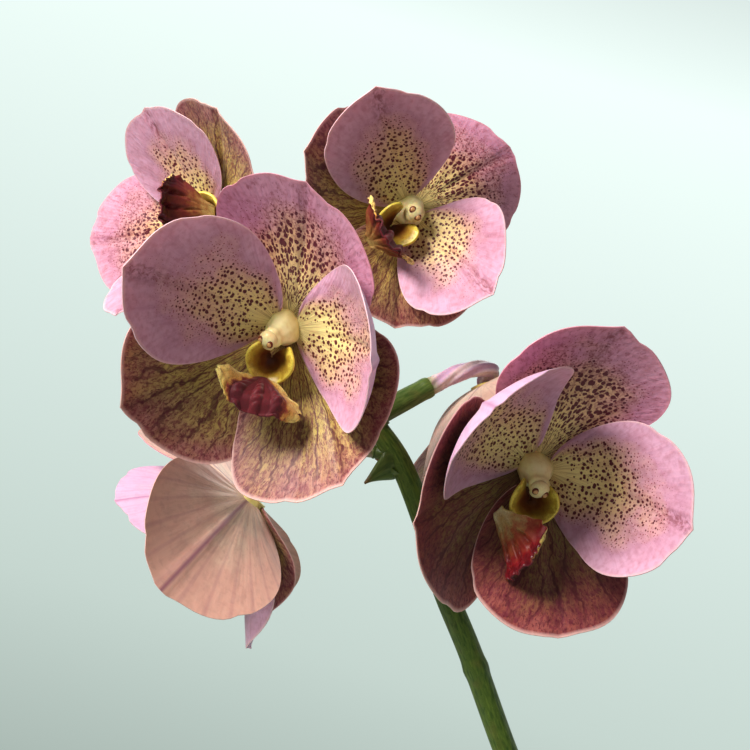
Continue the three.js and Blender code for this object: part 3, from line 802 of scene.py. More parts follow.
# %% Lip shape
CUP_ANGLE = math.radians(150)
CUP_RADIUS, CUP_FOOT, CUP_WALL = 7.4, 0.2, 1.3
CUP_MIDDLE, CUP_HEIGHT, CUP_HORN = 11.2, 7.6, 3.4
LOBE_FOOT, LOBE_WALL = 2.4, 0.9
KEEL_HEIGHT, TIP_DROP, WING_RIPPLE = 1.5, 4.5, 0.55


def make_lip(flower, axes, number):
    """The cup and the middle lobe in the flower's own millimetres, then set to the flower's place."""
    heading, swing, lift, twist, fold_left, fold_right, half_width, lobe_length = flower["lip"]
    under = LOBE_UNDER if flower is FLOWERS["right_flower"] else LOBE_DARK
    turned = turned_by(heading - 270, "Z")
    folds = {-1: math.radians(fold_left), 1: math.radians(fold_right)}
    swung = Matrix.Translation(flower["hinge"]) @ turned_by(swing, "Z")
    swung = swung @ turned_by(-lift, "X") @ turned_by(twist, "Y")

    def cup(u, v):
        angle = CUP_ANGLE * v + 0.16 * (1 - u)
        radius = lerp(CUP_FOOT, CUP_RADIUS, u ** 0.5) * (1 + 0.04 * math.sin(3 * angle + number))
        radius += 1.2 * smooth(u, 0.72, 1)
        horn = CUP_HORN * smooth(abs(v), 0.3, 0.75) * (1 - smooth(abs(v), 0.84, 1))
        horn -= 2.2 * smooth(abs(v), 0.86, 1) + 1.6 * math.exp(-(v / 0.14) ** 2) * smooth(u, 0.6, 1)
        height = 3 + (CUP_HEIGHT + horn) * u
        place = Vector((radius * math.sin(angle), -CUP_MIDDLE - radius * math.cos(angle), height))
        return axes @ (turned @ place), (u, v, number)

    def lobe(u, v):
        across = abs(v)
        side = 1 if v > 0 else -1
        half = lerp(LOBE_FOOT, half_width, smooth(u, 0, 0.7)) * (1 - 0.1 * smooth(u, 0.85, 1))
        half *= 1 + 0.04 * math.sin(33 * u + 2 * side + number) * smooth(across, 0.8, 1)
        teeth = 0.05 * abs(math.sin(24 * v + number)) * smooth(across, 0.5, 0.7)
        long = lobe_length * (1 - 0.34 * across ** 2.4 + teeth)
        ridge = max(0, math.cos(14.5 * v)) ** 0.7 * (1 - smooth(across, 0.52, 0.64))
        lumps = 1 + 0.35 * math.sin(15 * u + 6 * v + number) + 0.3 * math.sin(37 * u + 19 * v)
        keels = KEEL_HEIGHT * ridge * lumps * smooth(u, 0.1, 0.65)
        out = half * across
        fold = folds[side] * smooth(across, 0.3, 1) * smooth(u, 0.1, 0.5)
        ripple = WING_RIPPLE * math.sin(21 * u + 3 * side) * smooth(across, 0.66, 1)
        drop = TIP_DROP * smooth(u, 0.62, 1) ** 1.5 * (1 - 0.6 * across)
        place = Vector((
            side * out * math.cos(fold),
            -long * u + drop * 0.6 - 0.8 * ridge * smooth(u, 0.8, 1),
            1.6 * math.sin(2.6 * u) - drop + keels + out * math.sin(fold) + ripple,
        ))
        return axes @ (turned @ (swung @ place)), (u, v, number)

    pieces = []
    for name, surface, rows, columns, skins, thick in [
        ("lip_cup", cup, 14, 44, (CUP_INSIDE, CUP_OUTSIDE), CUP_WALL),
        ("lip_lobe", lobe, 34, 72, (LOBE_TOP, under), LOBE_WALL),
    ]:
        piece = start_grid(name, rows, columns, skins)
        shape_grid(piece, surface, "lip")
        apply_modifier(piece, "SOLIDIFY", thickness=thick * MM, offset=0, material_offset=1)
        apply_modifier(piece, "SUBSURF", levels=1, render_levels=1)
        pieces.append(piece)
    return pieces


# %% Make the six lips
for number, (flower_name, flower) in enumerate(FLOWERS.items(), 1):
    lip = join_pieces(make_lip(flower, flower_axes(flower), number), f"{flower_name}_lip_flesh")
    place_piece(lip, "lip", f"{flower_name}_lip")
print(number, "lips, the last of", len(lip.data.polygons), "faces")

# %% [markdown]
# ## Columns and pedicels
#
# Stamen and pistil are grown together into one short cream column that leans over the lip. At its end sits
# the anther cap, a small dome with two brown pollen marks. Behind the flower the pedicel runs back to the
# spike, twisted, with ribs along it, cream and washed with lilac. The column could be turned as a bottle is,
# but it leans, so it is a tube along a bent line that swells at its foot. The cap is of squeezed spheres.

# %% Column and pedicel finishes
def column_skin():
    """Waxy cream flesh, yellower at the foot, which shows as a soft gloss."""
    material, tree, shader = start_material("waxy cream column flesh", **WAXY_FLESH)
    share = read_values(tree, "line")[2]
    colour = add_node(tree, "ValToRGB", share, stops=[
        (0.0, "DCCB80"), (0.3, "F0E29A"), (0.6, "FAF0BE"), (1.0, "F6E7AA"),
    ])
    spot = add_node(tree, "TexCoord", output=3)
    grain = add_node(tree, "TexNoise", spot, 1 / (1.8 * MM), 3)
    tint = add_node(tree, "MapRange", grain, 0.45, 0.7, 0, 0.3)
    finish_material(tree, shader, colour, [(tint, "D9BE72")], grain, 0.2, 0.2)
    return material


def pedicel_skin():
    """Waxy flesh in long stripes, cream between lilac, darker green where it meets the spike."""
    material, tree, shader = start_material("waxy lilac pedicel flesh", **WAXY_FLESH)
    length, angle, share = read_values(tree, "line")
    wound = add_node(tree, "Math", length, 0.1, angle, operation="MULTIPLY_ADD")
    wound = add_node(tree, "Math", wound, 3, operation="MULTIPLY")
    stripe = add_node(tree, "Math", wound, operation="SINE")
    stripe = add_node(tree, "MapRange", stripe, -0.7, 0.8, **SOFT)
    colour = add_node(tree, "Mix", stripe, linear("C3A2BC"), linear("DCC6CA"), data_type="RGBA")
    foot = add_node(tree, "MapRange", share, 0.14, 0.02)
    spot = add_node(tree, "TexCoord", output=3)
    grain = add_node(tree, "TexNoise", spot, 1 / (1.2 * MM), 3)
    tint = add_node(tree, "MapRange", grain, 0.5, 0.7, 0, 0.4)
    finish_material(tree, shader, colour, [(foot, "8E9660"), (tint, "A98098")], grain, 0.3, 0.2)
    return material


def plain_waxy_skin(name, light, dark):
    """Waxy flesh of nearly one colour, clouded at half a millimetre."""
    material, tree, shader = start_material(name, **WAXY_FLESH)
    spot = add_node(tree, "TexCoord", output=3)
    grain = add_node(tree, "TexNoise", spot, 1 / (0.5 * MM), 3)
    colour = add_node(tree, "Mix", grain, linear(dark), linear(light), data_type="RGBA")
    finish_material(tree, shader, colour, [], grain, 0.2, 0.1)
    return material


COLUMN_SKIN = column_skin()
PEDICEL_SKIN = pedicel_skin()
CAP_SKIN = plain_waxy_skin("waxy cream anther cap", "F8EDBC", "E4CB90")
POLLEN_RING = plain_waxy_skin("brown pollen ring", "8E3E1C", "561A0C")
POLLEN_SKIN = plain_waxy_skin("orange pollen mark", "E8B884", "C98A50")
print("finishes of column, pedicel, cap and pollen")

# %% Column shape
COLUMN_FOOT, COLUMN_WAIST, COLUMN_TIP = -4, 4, 11.5
COLUMN_RADIUS, COLUMN_SWELL = 3.5, 3.0
# The parts of the cap in millimetres: name, place from the column's tip, half size and finish
CAP_PARTS = [
    ("anther_cap", (0, 0.3, -0.4), (3.5, 3.3, 2.7), CAP_SKIN),
    ("beak", (0, -2.4, -0.9), (2.5, 1.7, 1.8), CAP_SKIN),
]
for side in (-1, 1):
    CAP_PARTS.append(("pollen_ring", (side * 1.75, 0.1, 1.5), (1.4, 1.5, 0.8), POLLEN_RING))
    CAP_PARTS.append(("pollen_mark", (side * 1.85, 0.1, 1.85), (0.95, 1.05, 0.65), POLLEN_SKIN))


def make_column(flower, axes, number):
    """The column as a tube, and the balls of its cap set square on its tip."""
    lean_x, lean_y = flower["lean"]
    foot = Vector((0, 0, COLUMN_FOOT))
    waist = Vector((lean_x * 0.2, lean_y * 0.2, COLUMN_WAIST))
    tip = Vector((lean_x, lean_y, COLUMN_TIP))
    points = [foot, foot.lerp(waist, 0.55), waist, waist.lerp(tip, 0.5), tip]

    def radius_at(t, angle):
        swell = COLUMN_SWELL * (1 - smooth(t, 0.25, 0.8)) + 0.5 * smooth(t, 0.7, 0.9)
        end = math.sqrt(max(1 - (5 * max(t - 0.8, 0)) ** 2, 0.04))
        ridges = 1 + 0.05 * math.cos(3 * angle + number) + 0.025 * math.cos(7 * angle + 4 * t)
        return (COLUMN_RADIUS + swell) * ridges * end

    pieces = [make_tube("column", [axes @ point for point in points], 32, 36, radius_at, (COLUMN_SKIN,))]
    pointed = (tip - waist).normalized()
    outward = (axes.to_3x3() @ pointed).normalized()
    sideways = axes.to_3x3() @ Vector((1, 0, 0))
    sideways = (sideways - outward * sideways.dot(outward)).normalized()
    cap = Matrix((sideways, outward.cross(sideways), outward)).transposed().to_4x4()
    cap = Matrix.Scale(MM, 4) @ Matrix.Translation(axes @ tip) @ cap
    add_ball = bpy.ops.mesh.primitive_uv_sphere_add
    for name, place, size, skin in CAP_PARTS:
        ball = start_piece(name, add_ball, skin, segments=24, ring_count=16, radius=1)
        ball.data.transform(cap @ Matrix.Translation(place) @ Matrix.Diagonal((*size, 1)))
        pieces.append(ball)
    return pieces


# %% Pedicel shape
PEDICEL_THIN, PEDICEL_SHORT, PEDICEL_THICK = 2.4, 3.3, 3.0
INSIDE_SHOULDER = 2.5


def make_pedicel(flower, axes):
    """A ribbed tube from inside the spike's shoulder to the back of the flower."""
    on_axis = [axes @ Vector((0, 0, z)) for z in (-4.6 - flower["neck"], -2.6)]
    first, second = (Vector(point) for point in flower["spray"][:2])
    inside_shoulder = first + (first - second).normalized() * INSIDE_SHOULDER
    start = PEDICEL_SHORT if flower is FLOWERS["back_flower"] else PEDICEL_THIN

    def radius_at(t, angle):
        ribs = 1 + 0.1 * math.cos(6 * angle + 20 * t)
        return lerp(start, PEDICEL_THICK, smooth(t, 0.2, 0.9)) * ribs

    line = [inside_shoulder, *flower["spray"], *on_axis]
    return make_tube("pedicel", line, 70, 36, radius_at, (PEDICEL_SKIN,))


# %% Make the six columns and pedicels
for number, (flower_name, flower) in enumerate(FLOWERS.items(), 1):
    axes = flower_axes(flower)
    column = join_pieces(make_column(flower, axes, number), f"{flower_name}_column_flesh")
    place_piece(column, "column", f"{flower_name}_column")
    pedicel = make_pedicel(flower, axes)
    pedicel.name = pedicel.data.name = f"{flower_name}_pedicel"
    place_piece(pedicel, "column")
print(number, "columns and pedicels")

# %% [markdown]
# ## Flower spike
#
# The spike is one round green stalk, as thick as a pencil, that bends towards the light. It is ribbed along,
# and at each flower a short green shoulder leaves it above a small three-sided bract. Its tip has dried
# brown. A bevelled curve could give the stalk, but not its ribs, nodes and taper, so stalk and shoulders are
# tubes by a formula along smooth lines. Each bract is a small curled scale, made as the petals are.

# %% Spike line and shoulders, as in the plain model
SPIKE_LINE = [
    (0, 8.8, 204), (-0.5, 14, 205), (-4, 23, 222), (-14, 29, 255), (-26, 36, 295), (-41, 42, 338),
    (-59, 45, 383), (-73, 45, 422), (-83.5, 45, 448), (-91.6, 45, 475), (-101, 45, 497.5), (-112.6, 46, 514),
    (-123.6, 47, 532), (-131.6, 48, 556), (-136.8, 49, 579), (-140, 50, 598), (-140.6, 50, 606),
]
# Where each shoulder starts in the stalk, and its radius there and at its end
SHOULDERS = {
    "front_flower": ((-117, 46.5, 521), 3.2, 2.6), "top_flower": ((-133, 48.3, 561), 3, 2.6),
    "left_flower": ((-138, 49.3, 584), 3, 2.6), "right_flower": ((-91, 45, 473), 3, 2.6),
    "low_flower": ((-101.5, 45, 498), 3, 2.6), "back_flower": ((-112, 46, 513), 4.6, 3.9),
}
GAP = 0.3


def spike_skin(name, light, dark, dry, dry_from, dry_to):
    """Plant skin: smooth and satin, darker in long streaks, with tiny pale pores, and dry towards its tip."""
    material, tree, shader = start_material(
        name, Roughness=0.38, IOR=1.42, Subsurface_Weight=0.08, Subsurface_Scale=0.002,
        Subsurface_Radius=(0.5, 1.0, 0.25),
    )
    length, angle, share = read_values(tree, "line")
    turn = add_node(tree, "Math", angle, operation="COSINE")
    other = add_node(tree, "Math", angle, operation="SINE")
    far = add_node(tree, "Math", length, 0.045, operation="MULTIPLY")
    streak_place = add_node(tree, "CombineXYZ", turn, other, far)
    streaks = add_node(tree, "TexNoise", streak_place, 5, 3)
    streaks = add_node(tree, "MapRange", streaks, 0.35, 0.68)
    colour = add_node(tree, "Mix", streaks, linear(dark), linear(light), data_type="RGBA")
    spot = add_node(tree, "TexCoord", output=3)
    pores = add_node(tree, "TexVoronoi", spot, 1 / (1.1 * MM))
    pale = add_node(tree, "MapRange", pores, 0.16, 0.08, 0, 0.3)
    mottle = add_node(tree, "TexNoise", spot, 1 / (6 * MM), 4)
    bronze = add_node(tree, "MapRange", mottle, 0.55, 0.75, 0, 0.35)
    end = add_node(tree, "MapRange", share, dry_from, dry_to, **SOFT)
    relief = add_node(tree, "Math", streaks, 0.6, mottle, operation="MULTIPLY_ADD")
    layers = [(pale, "8A9A58"), (bronze, "6E5A34"), (end, dry)]
    finish_material(tree, shader, colour, layers, relief, 0.3, 0.3)
    return material


SPIKE_SKIN = spike_skin("orchid stalk skin", "667A30", "3E561C", "4A3524", 0.965, 0.985)
SHOULDER_SKIN = spike_skin("orchid shoulder skin", "66783A", "445C26", "9A8A58", 0.9, 1.3)
BRACT_SKIN = spike_skin("orchid bract skin", "66763A", "465A26", "7A5E38", 0.7, 1.0)
print("finishes of stalk, shoulder and bract")

# %% Stalk shape
STALK_RADIUS, STALK_ROWS = 4.7, 260
NODE_PLACES, NODE_HEIGHT, NODE_LENGTH = (0.2, 0.38, 0.53), 0.5, 0.006


def stalk_radius(t, angle):
    foot = 0.68 + 0.32 * smooth(t, 0, 0.06)
    taper = 1 - 0.16 * smooth(t, 0.55, 0.95)
    tip = 2.25 * smooth(t, 0.965, 1)
    ribs = 1 + 0.022 * math.cos(7 * angle + 6 * t) + 0.01 * math.cos(16 * angle)
    nodes = sum(NODE_HEIGHT * math.exp(-((t - spot) / NODE_LENGTH) ** 2) for spot in NODE_PLACES)
    return (STALK_RADIUS * foot * taper + nodes) * ribs - tip


# %% Shoulder and bract shapes
BRACT_THICKNESS, BRACT_GRIP = 0.8, 4.9
BRACT_SIZE, LOW_BRACT_SIZE = (9.5, 5), (12, 6.5)


def make_shoulder(root, end, leaving, wide, thin):
    def radius_at(t, angle):
        collar = 0.3 * math.exp(-((t - 0.9) / 0.05) ** 2)
        return lerp(wide, thin, t) * (1 + 0.05 * math.cos(6 * angle + 3 * t)) + collar

    return make_tube("shoulder", [root, end - leaving * 2, end], 24, 20, radius_at, (SHOULDER_SKIN,))


def make_bract(name, seat, along, outward, size, width):
    """A smooth three-sided scale that holds the stalk at seat, points along it and opens outward."""
    aside = along.cross(outward).normalized()
    piece = start_grid(name, 16, 16, (BRACT_SKIN, BRACT_SKIN))

    def surface(u, v):
        half = width * (1 - u ** 1.6) * (0.75 + 0.25 * smooth(u, 0, 0.3))
        angle = math.radians(80) * v * (1 - 0.5 * u)
        away = BRACT_GRIP + 3.4 * u ** 1.6
        place = seat + along * (size * u - 2) + outward * (away * math.cos(angle))
        return place + aside * (half * math.sin(angle) * 1.25), (size * u, v, u)

    weigh_grid(piece, lambda u, v: 1 - 0.7 * smooth(abs(v), 0.6, 1))
    shape_grid(piece, surface, "line")
    thicken(piece, BRACT_THICKNESS)
    return piece


# %% Make the spike
pieces = [make_tube("stalk", SPIKE_LINE, STALK_ROWS, 28, stalk_radius, (SPIKE_SKIN,))]
stalk_places = smooth_line(SPIKE_LINE, STALK_ROWS)
for flower_name, (root, wide, thin) in SHOULDERS.items():
    first, second = (Vector(point) for point in FLOWERS[flower_name]["spray"][:2])
    leaving = (second - first).normalized()
    end = first - leaving * GAP
    pieces.append(make_shoulder(root, end, leaving, wide, thin))
    nearest = min(range(2, STALK_ROWS - 2), key=lambda i: (stalk_places[i] - Vector(root)).length)
    seat = stalk_places[nearest - 2]
    ahead = (stalk_places[nearest + 1] - stalk_places[nearest - 1]).normalized()
    reached = end - seat
    outward = (reached - ahead * reached.dot(ahead)).normalized()
    pieces.append(make_bract("bract", seat, ahead, outward, *BRACT_SIZE))
drooping, below = Vector((-0.94, 0, -0.34)), Vector((-0.2, -0.8, -0.56))
pieces.append(make_bract("low bract", Vector((-103, 46, 496)), drooping, below, *LOW_BRACT_SIZE))
spike = join_pieces(pieces, "flower_spike_skin")
place_piece(spike, "spike", "flower_spike")
print("spike of", len(spike.data.polygons), "faces")

# %% [markdown]
# ## Leaves
#
# Ten strap leaves stand in two ranks, the oldest lowest and longest. Each clasps the stem with a sheath,
# folds along its keel into a channel, arches out and droops, and ends as if bitten off, with one tooth
# longer. An extruded strip could be bent along a curve, but its sheath and its channel need other sections.
# So the centre line of the plain model is walked in small steps, and a grid is laid across it by a formula.
# The skin is satin, with veins about 0.6 mm apart along the blade, and its underside is paler.

# %% Leaf finish
def leaf_skin(name, light, dark, midrib, edge):
    """Thick satin leaf skin with fine parallel veins, purple freckles at the sheath and a dry bitten tip."""
    material, tree, shader = start_material(
        name, Roughness=0.36, IOR=1.45, Subsurface_Weight=0.06, Subsurface_Scale=0.002,
        Subsurface_Radius=(0.4, 1.0, 0.2), Coat_Weight=0.1, Coat_Roughness=0.35,
    )
    along, across, to_tip = read_values(tree, "leaf")
    side, share, age = read_values(tree, "blade")
    spot = add_node(tree, "TexCoord", output=3)

    far = add_node(tree, "Math", along, 0.02, age, operation="MULTIPLY_ADD")
    vein_place = add_node(tree, "CombineXYZ", across, far, age)
    veins = add_node(tree, "TexNoise", vein_place, 1.6, 2)
    patches = add_node(tree, "TexNoise", spot, 1 / (28 * MM), 3)
    grain = add_node(tree, "TexNoise", spot, 1 / (1.4 * MM), 3)
    mixed = add_node(tree, "Math", veins, 0.6, patches, operation="MULTIPLY_ADD")
    ground = add_node(tree, "MapRange", mixed, 0.6, 1.0)
    colour = add_node(tree, "Mix", ground, linear(dark), linear(light), data_type="RGBA")

    middle = add_node(tree, "Math", across, operation="ABSOLUTE")
    freckles = add_node(tree, "TexNoise", spot, 1 / (1.1 * MM), 3)
    freckled = add_node(tree, "MapRange", along, 60, 8, 0, 0.75)
    # Pale patches, partly dust on the leaf and partly a painted sheen.
    dust_and_sheen = add_node(tree, "TexNoise", spot, 1 / (9 * MM), 5)
    dry_edge = add_node(tree, "Math", share, 26, grain, operation="MULTIPLY_ADD")
    layers = [
        (add_node(tree, "MapRange", age, 0.3, 1, 0, 0.35), "7E8C3A"),
        (add_node(tree, "MapRange", middle, 1.1, 0.25, 0, 0.7, **SOFT), midrib),
        (add_node(tree, "MapRange", side, 0.9, 0.99, 0, 0.55, **SOFT), edge),
        # Pale dust with a painted sheen.
        (add_node(tree, "MapRange", dust_and_sheen, 0.62, 0.7, 0, 0.28), "B4B98A"),
        (add_node(tree, "MapRange", freckles, 0.58, 0.66, 0, freckled), "5A2C3A"),
        (add_node(tree, "MapRange", to_tip, 7, 1.5, 0, 0.8, **SOFT), "8C7A3E"),
        (add_node(tree, "MapRange", to_tip, 2.2, 0.8, 0, 0.95, **SOFT), "4E3620"),
        (add_node(tree, "MapRange", dry_edge, 2.2, 1.3, 0, 0.8), "8A7448"),
    ]
    relief = add_node(tree, "Math", grain, 0.25, veins, operation="MULTIPLY_ADD")
    gloss = add_node(tree, "MapRange", patches, 0.35, 0.65, 0.3, 0.46)
    finish_material(tree, shader, colour, layers, relief, 0.4, 0.35, gloss)
    return material


LEAF_TOP = leaf_skin("satin strap leaf, top", "567A36", "355A26", "7E9A4E", "93A45A")
LEAF_UNDER = leaf_skin("satin strap leaf, underside", "6E8E4A", "55763A", "86A05A", "93A45A")
print("leaf finishes: top and underside")

# %% Leaf centre line, as in the plain model
LEAF_COUNT = 10
LEAF_STEPS = 240
FIRST_BASE, BASE_STEP = 152, 13.5
SHORTEST_LEAF, LONGEST_LEAF = 185, 255
SHEATH_RADIUS = 9.6


def leaf_line(order):
    """Walks along the keel. Gives heading, length and age, and how far out, high and leaning each step is."""
    age = 1 - order / (LEAF_COUNT - 1)
    heading = (math.pi if order % 2 == 0 else 0) + math.radians(6 * math.sin(2.4 * order + 0.6))
    length = lerp(SHORTEST_LEAF, LONGEST_LEAF, smooth(age, 0, 0.8))
    length += 9 * math.sin(2.9 * order) - 18 * smooth(age, 0.8, 1)
    leave = math.radians(lerp(42, 52, age))
    droop = math.radians(lerp(56, 72, age) + 6 * math.sin(1.7 * order + 1))
    out, height, lean = SHEATH_RADIUS, FIRST_BASE + BASE_STEP * order, 0
    walked = [(out, height, lean)]
    for i in range(1, LEAF_STEPS + 1):
        share = i / LEAF_STEPS
        lean = leave * smooth(share * length, 12, 48) + droop * share ** 1.3
        out += length / LEAF_STEPS * math.sin(lean)
        height += length / LEAF_STEPS * math.cos(lean)
        walked.append((out, height, lean))
    return heading, length, age, walked


# %% Leaf shape
LEAF_ROWS, LEAF_COLUMNS = 104, 20
LEAF_WIDTH, LEAF_THICKNESS = 28, 1.9
SHEATH_ANGLE = math.radians(86)
SHEATH_DEPTH, BLADE_DEPTH = 7.5, 3


def make_leaf(name, order):
    heading, length, age, walked = leaf_line(order)
    outward = Vector((math.cos(heading), math.sin(heading), 0))
    aside = Vector((-math.sin(heading), math.cos(heading), 0))
    longer = 1 if order % 3 else -1

    def surface(u, v):
        bitten = 6.5 * math.exp(-(v / 0.22) ** 2) + 4.5 * smooth(v * longer, -0.1, 0.3)
        bitten += 1.2 * abs(math.sin(8 * v + order)) + 9 * smooth(abs(v), 0.72, 1) ** 2
        short = u * (1 - bitten / length * smooth(u, 0.8, 1))
        spot = short * (len(walked) - 1)
        low = min(int(spot), len(walked) - 2)
        away, height, lean = (lerp(a, b, spot - low) for a, b in zip(walked[low], walked[low + 1]))
        blade = smooth(short * length, 6, 50)
        angle = v * SHEATH_ANGLE
        half = LEAF_WIDTH / 2 * (0.72 + 0.28 * smooth(short, 0.05, 0.35)) * (1 - 0.3 * smooth(short, 0.8, 1))
        half *= 1 + 0.012 * math.sin(21 * short + 3 * order)
        depth = lerp(SHEATH_DEPTH, BLADE_DEPTH, smooth(short, 0.1, 0.8))
        depth += 0.5 * math.sin(9 * short + 2 * order) * blade
        across = lerp(SHEATH_RADIUS * math.sin(angle), half * v, blade)
        rise = lerp(SHEATH_RADIUS * (1 - math.cos(angle)), depth * (v * v + 0.004) ** 0.6, blade)
        rise += 0.12 * math.cos(19 * v) * blade
        place = outward * (away - rise * math.cos(lean)) + aside * across
        place.z = height + rise * math.sin(lean)
        to_tip = (1 - u) * length
        return place, (short * length, half * v, to_tip), (abs(v), short, age)

    piece = start_grid(name, LEAF_ROWS, LEAF_COLUMNS, (LEAF_UNDER, LEAF_TOP))
    weigh_grid(piece, lambda u, v: 1 - 0.55 * smooth(abs(v), 0.5, 1) - 0.25 * smooth(u, 0.9, 1))
    shape_grid(piece, surface, "leaf", "blade")
    thicken(piece, LEAF_THICKNESS)
    return piece


# %% Make the ten leaves
for order in range(LEAF_COUNT):
    leaf = make_leaf(f"leaf_{order + 1}_blade", order)
    place_piece(leaf, "leaf", f"leaf_{order + 1}")
print(LEAF_COUNT, "leaves")

# %% [markdown]
# ## Stem and roots
#
# The stem is one upright rod, ringed where each leaf sits, green where it is young and corky at its foot.
# Four aerial roots leave it just above the bark. They are as thick as a pencil and wrapped in velamen, a
# spongy skin that is silver when dry, and the two that hang over the rim still grow at a smooth green tip.
# Both are tubes whose radius varies, because a plain cylinder would show neither rings nor knobs.

# %% Stem finish
def stem_skin():
    """Stem skin that turns from corky brown at the foot to green, ringed at the leaf bases."""
    material, tree, shader = start_material("orchid stem skin", Roughness=0.6, IOR=1.42)
    spot = add_node(tree, "TexCoord", output=3)
    height = add_node(tree, "SeparateXYZ", spot, output=2)
    patches = add_node(tree, "TexNoise", spot, 1 / (7 * MM), 5)
    stretched = add_node(tree, "VectorMath", spot, (1, 1, 0.12), operation="MULTIPLY")
    fibres = add_node(tree, "TexNoise", stretched, 1 / (1.2 * MM), 3)
    uneven = add_node(tree, "Math", patches, 0.05, height, operation="MULTIPLY_ADD")
    green = add_node(tree, "MapRange", uneven, 0.165, 0.205, **SOFT)
    cork = add_node(tree, "Mix", fibres, linear("5A4630"), linear("A08A66"), data_type="RGBA")
    fresh = add_node(tree, "Mix", fibres, linear("4E6A2E"), linear("7E9450"), data_type="RGBA")
    colour = add_node(tree, "Mix", green, cork, fresh, data_type="RGBA")
    finish_material(tree, shader, colour, [], fibres, 0.6, 0.5)
    return material


# %% Root finish
GREEN_TIP, NO_GREEN_TIP = 0.92, 1.5


def root_skin(name, tip):
    """Matt silver velamen, cracked across and green in patches. tip is where the green tip begins."""
    material, tree, shader = start_material(
        name, Roughness=0.8, IOR=1.4, Subsurface_Weight=0.1, Subsurface_Scale=0.0015,
        Subsurface_Radius=(0.8, 1.0, 0.6),
    )
    share = read_values(tree, "line")[2]
    spot = add_node(tree, "TexCoord", output=3)
    grain = add_node(tree, "TexNoise", spot, 1 / (0.9 * MM), 4)
    patches = add_node(tree, "TexNoise", spot, 1 / (11 * MM), 4)
    cracks = add_node(tree, "TexVoronoi", spot, 1 / (3.2 * MM), feature="DISTANCE_TO_EDGE")
    colour = add_node(tree, "Mix", grain, linear("A9AC98"), linear("D9DACC"), data_type="RGBA")
    layers = [
        (add_node(tree, "MapRange", patches, 0.5, 0.68, 0, 0.6), "8C9A6C"),
        (add_node(tree, "MapRange", patches, 0.42, 0.3, 0, 0.5), "B39C78"),
        (add_node(tree, "MapRange", cracks, 0.05, 0.0, 0, 0.5), "7C7A60"),
        (add_node(tree, "MapRange", share, tip, tip + 0.02, 0, 1, **SOFT), "86A24A"),
        (add_node(tree, "MapRange", share, tip + 0.05, 1.0, 0, 0.8), "8E6A3C"),
    ]
    rough = add_node(tree, "MapRange", share, tip, tip + 0.02, 0.8, 0.32)
    finish_material(tree, shader, colour, layers, grain, 0.5, 0.4, rough)
    return material


STEM_SKIN = stem_skin()
HANGING_ROOT = root_skin("silver velamen with a green tip", GREEN_TIP)
BURIED_ROOT = root_skin("silver velamen", NO_GREEN_TIP)
print("stem and root finishes")

# %% Stem
STEM_RADIUS, STEM_FOOT, STEM_TOP = 8, 96, 290


def stem_radius(t, angle):
    height = lerp(STEM_FOOT, STEM_TOP, t)
    to_ring = (height - FIRST_BASE) % BASE_STEP
    ring = 0.45 * math.exp(-(min(to_ring, BASE_STEP - to_ring) / 0.9) ** 2)
    top = 3.5 * smooth(height, STEM_TOP - 45, STEM_TOP)
    return STEM_RADIUS * (1 + 0.015 * math.cos(5 * angle + 0.05 * height)) - 0.4 + ring - top


STEM_LINE = [(0, 0, STEM_FOOT), (0, 0, 190), (0, 0, STEM_TOP)]
stem = make_tube("stem_rod", STEM_LINE, 200, 36, stem_radius, (STEM_SKIN,))
place_piece(stem, "stem", "stem")
print("stem of", len(stem.data.polygons), "faces")

# %% Roots
ROOT_RADIUS = 3.2
ROOT_LINES = [
    [(-3.2, -8.4, 141), (-5, -16, 143), (-13, -38, 142), (-23, -62, 149), (-30, -81, 150.5),
     (-35, -93, 141), (-36, -96, 116), (-30, -97, 88)],
    [(4.3, 8.2, 143), (8, 16, 146), (22, 38, 145), (38, 56, 150), (49, 71, 150.5),
     (57, 81, 141), (58, 83, 114), (54, 85, 84), (58, 87, 64)],
    [(7.4, -5.3, 139), (14, -10, 141), (28, -22, 135), (40, -30, 121), (45, -34, 104)],
    [(-7.4, 5.3, 136), (-14, 10, 138), (-28, 18, 133), (-42, 22, 119), (-47, 24, 102)],
]


def root_radius(t, angle):
    foot = 0.55 + 0.45 * smooth(t, 0, 0.1)
    tip = math.sqrt(max(1 - (max(t - 0.95, 0) / 0.05) ** 2, 0.02))
    knobs = 0.05 * math.sin(41 * t) * math.cos(angle + 9 * t) + 0.04 * math.sin(97 * t)
    return ROOT_RADIUS * foot * tip * (1 + knobs)


for i, points in enumerate(ROOT_LINES, 1):
    skin = HANGING_ROOT if i < 3 else BURIED_ROOT
    root = make_tube(f"root_{i}_skin", points, 32 * len(points), 24, root_radius, (skin,))
    place_piece(root, "root", f"root_{i}")
print(len(ROOT_LINES), "roots")

# %% [markdown]
# ## Clay pot
#
# A plain thrown pot: tapered wall, raised rim, flat foot with four drain holes. Its profile is turned round
# the axis like the real one on the wheel, which leaves faint rings, and the holes are drilled by a boolean.
# Unglazed clay is matt, and where water has dried out through the wall it carries a white bloom. Its grit is
# too fine to show and is drawn at 0.8 mm.

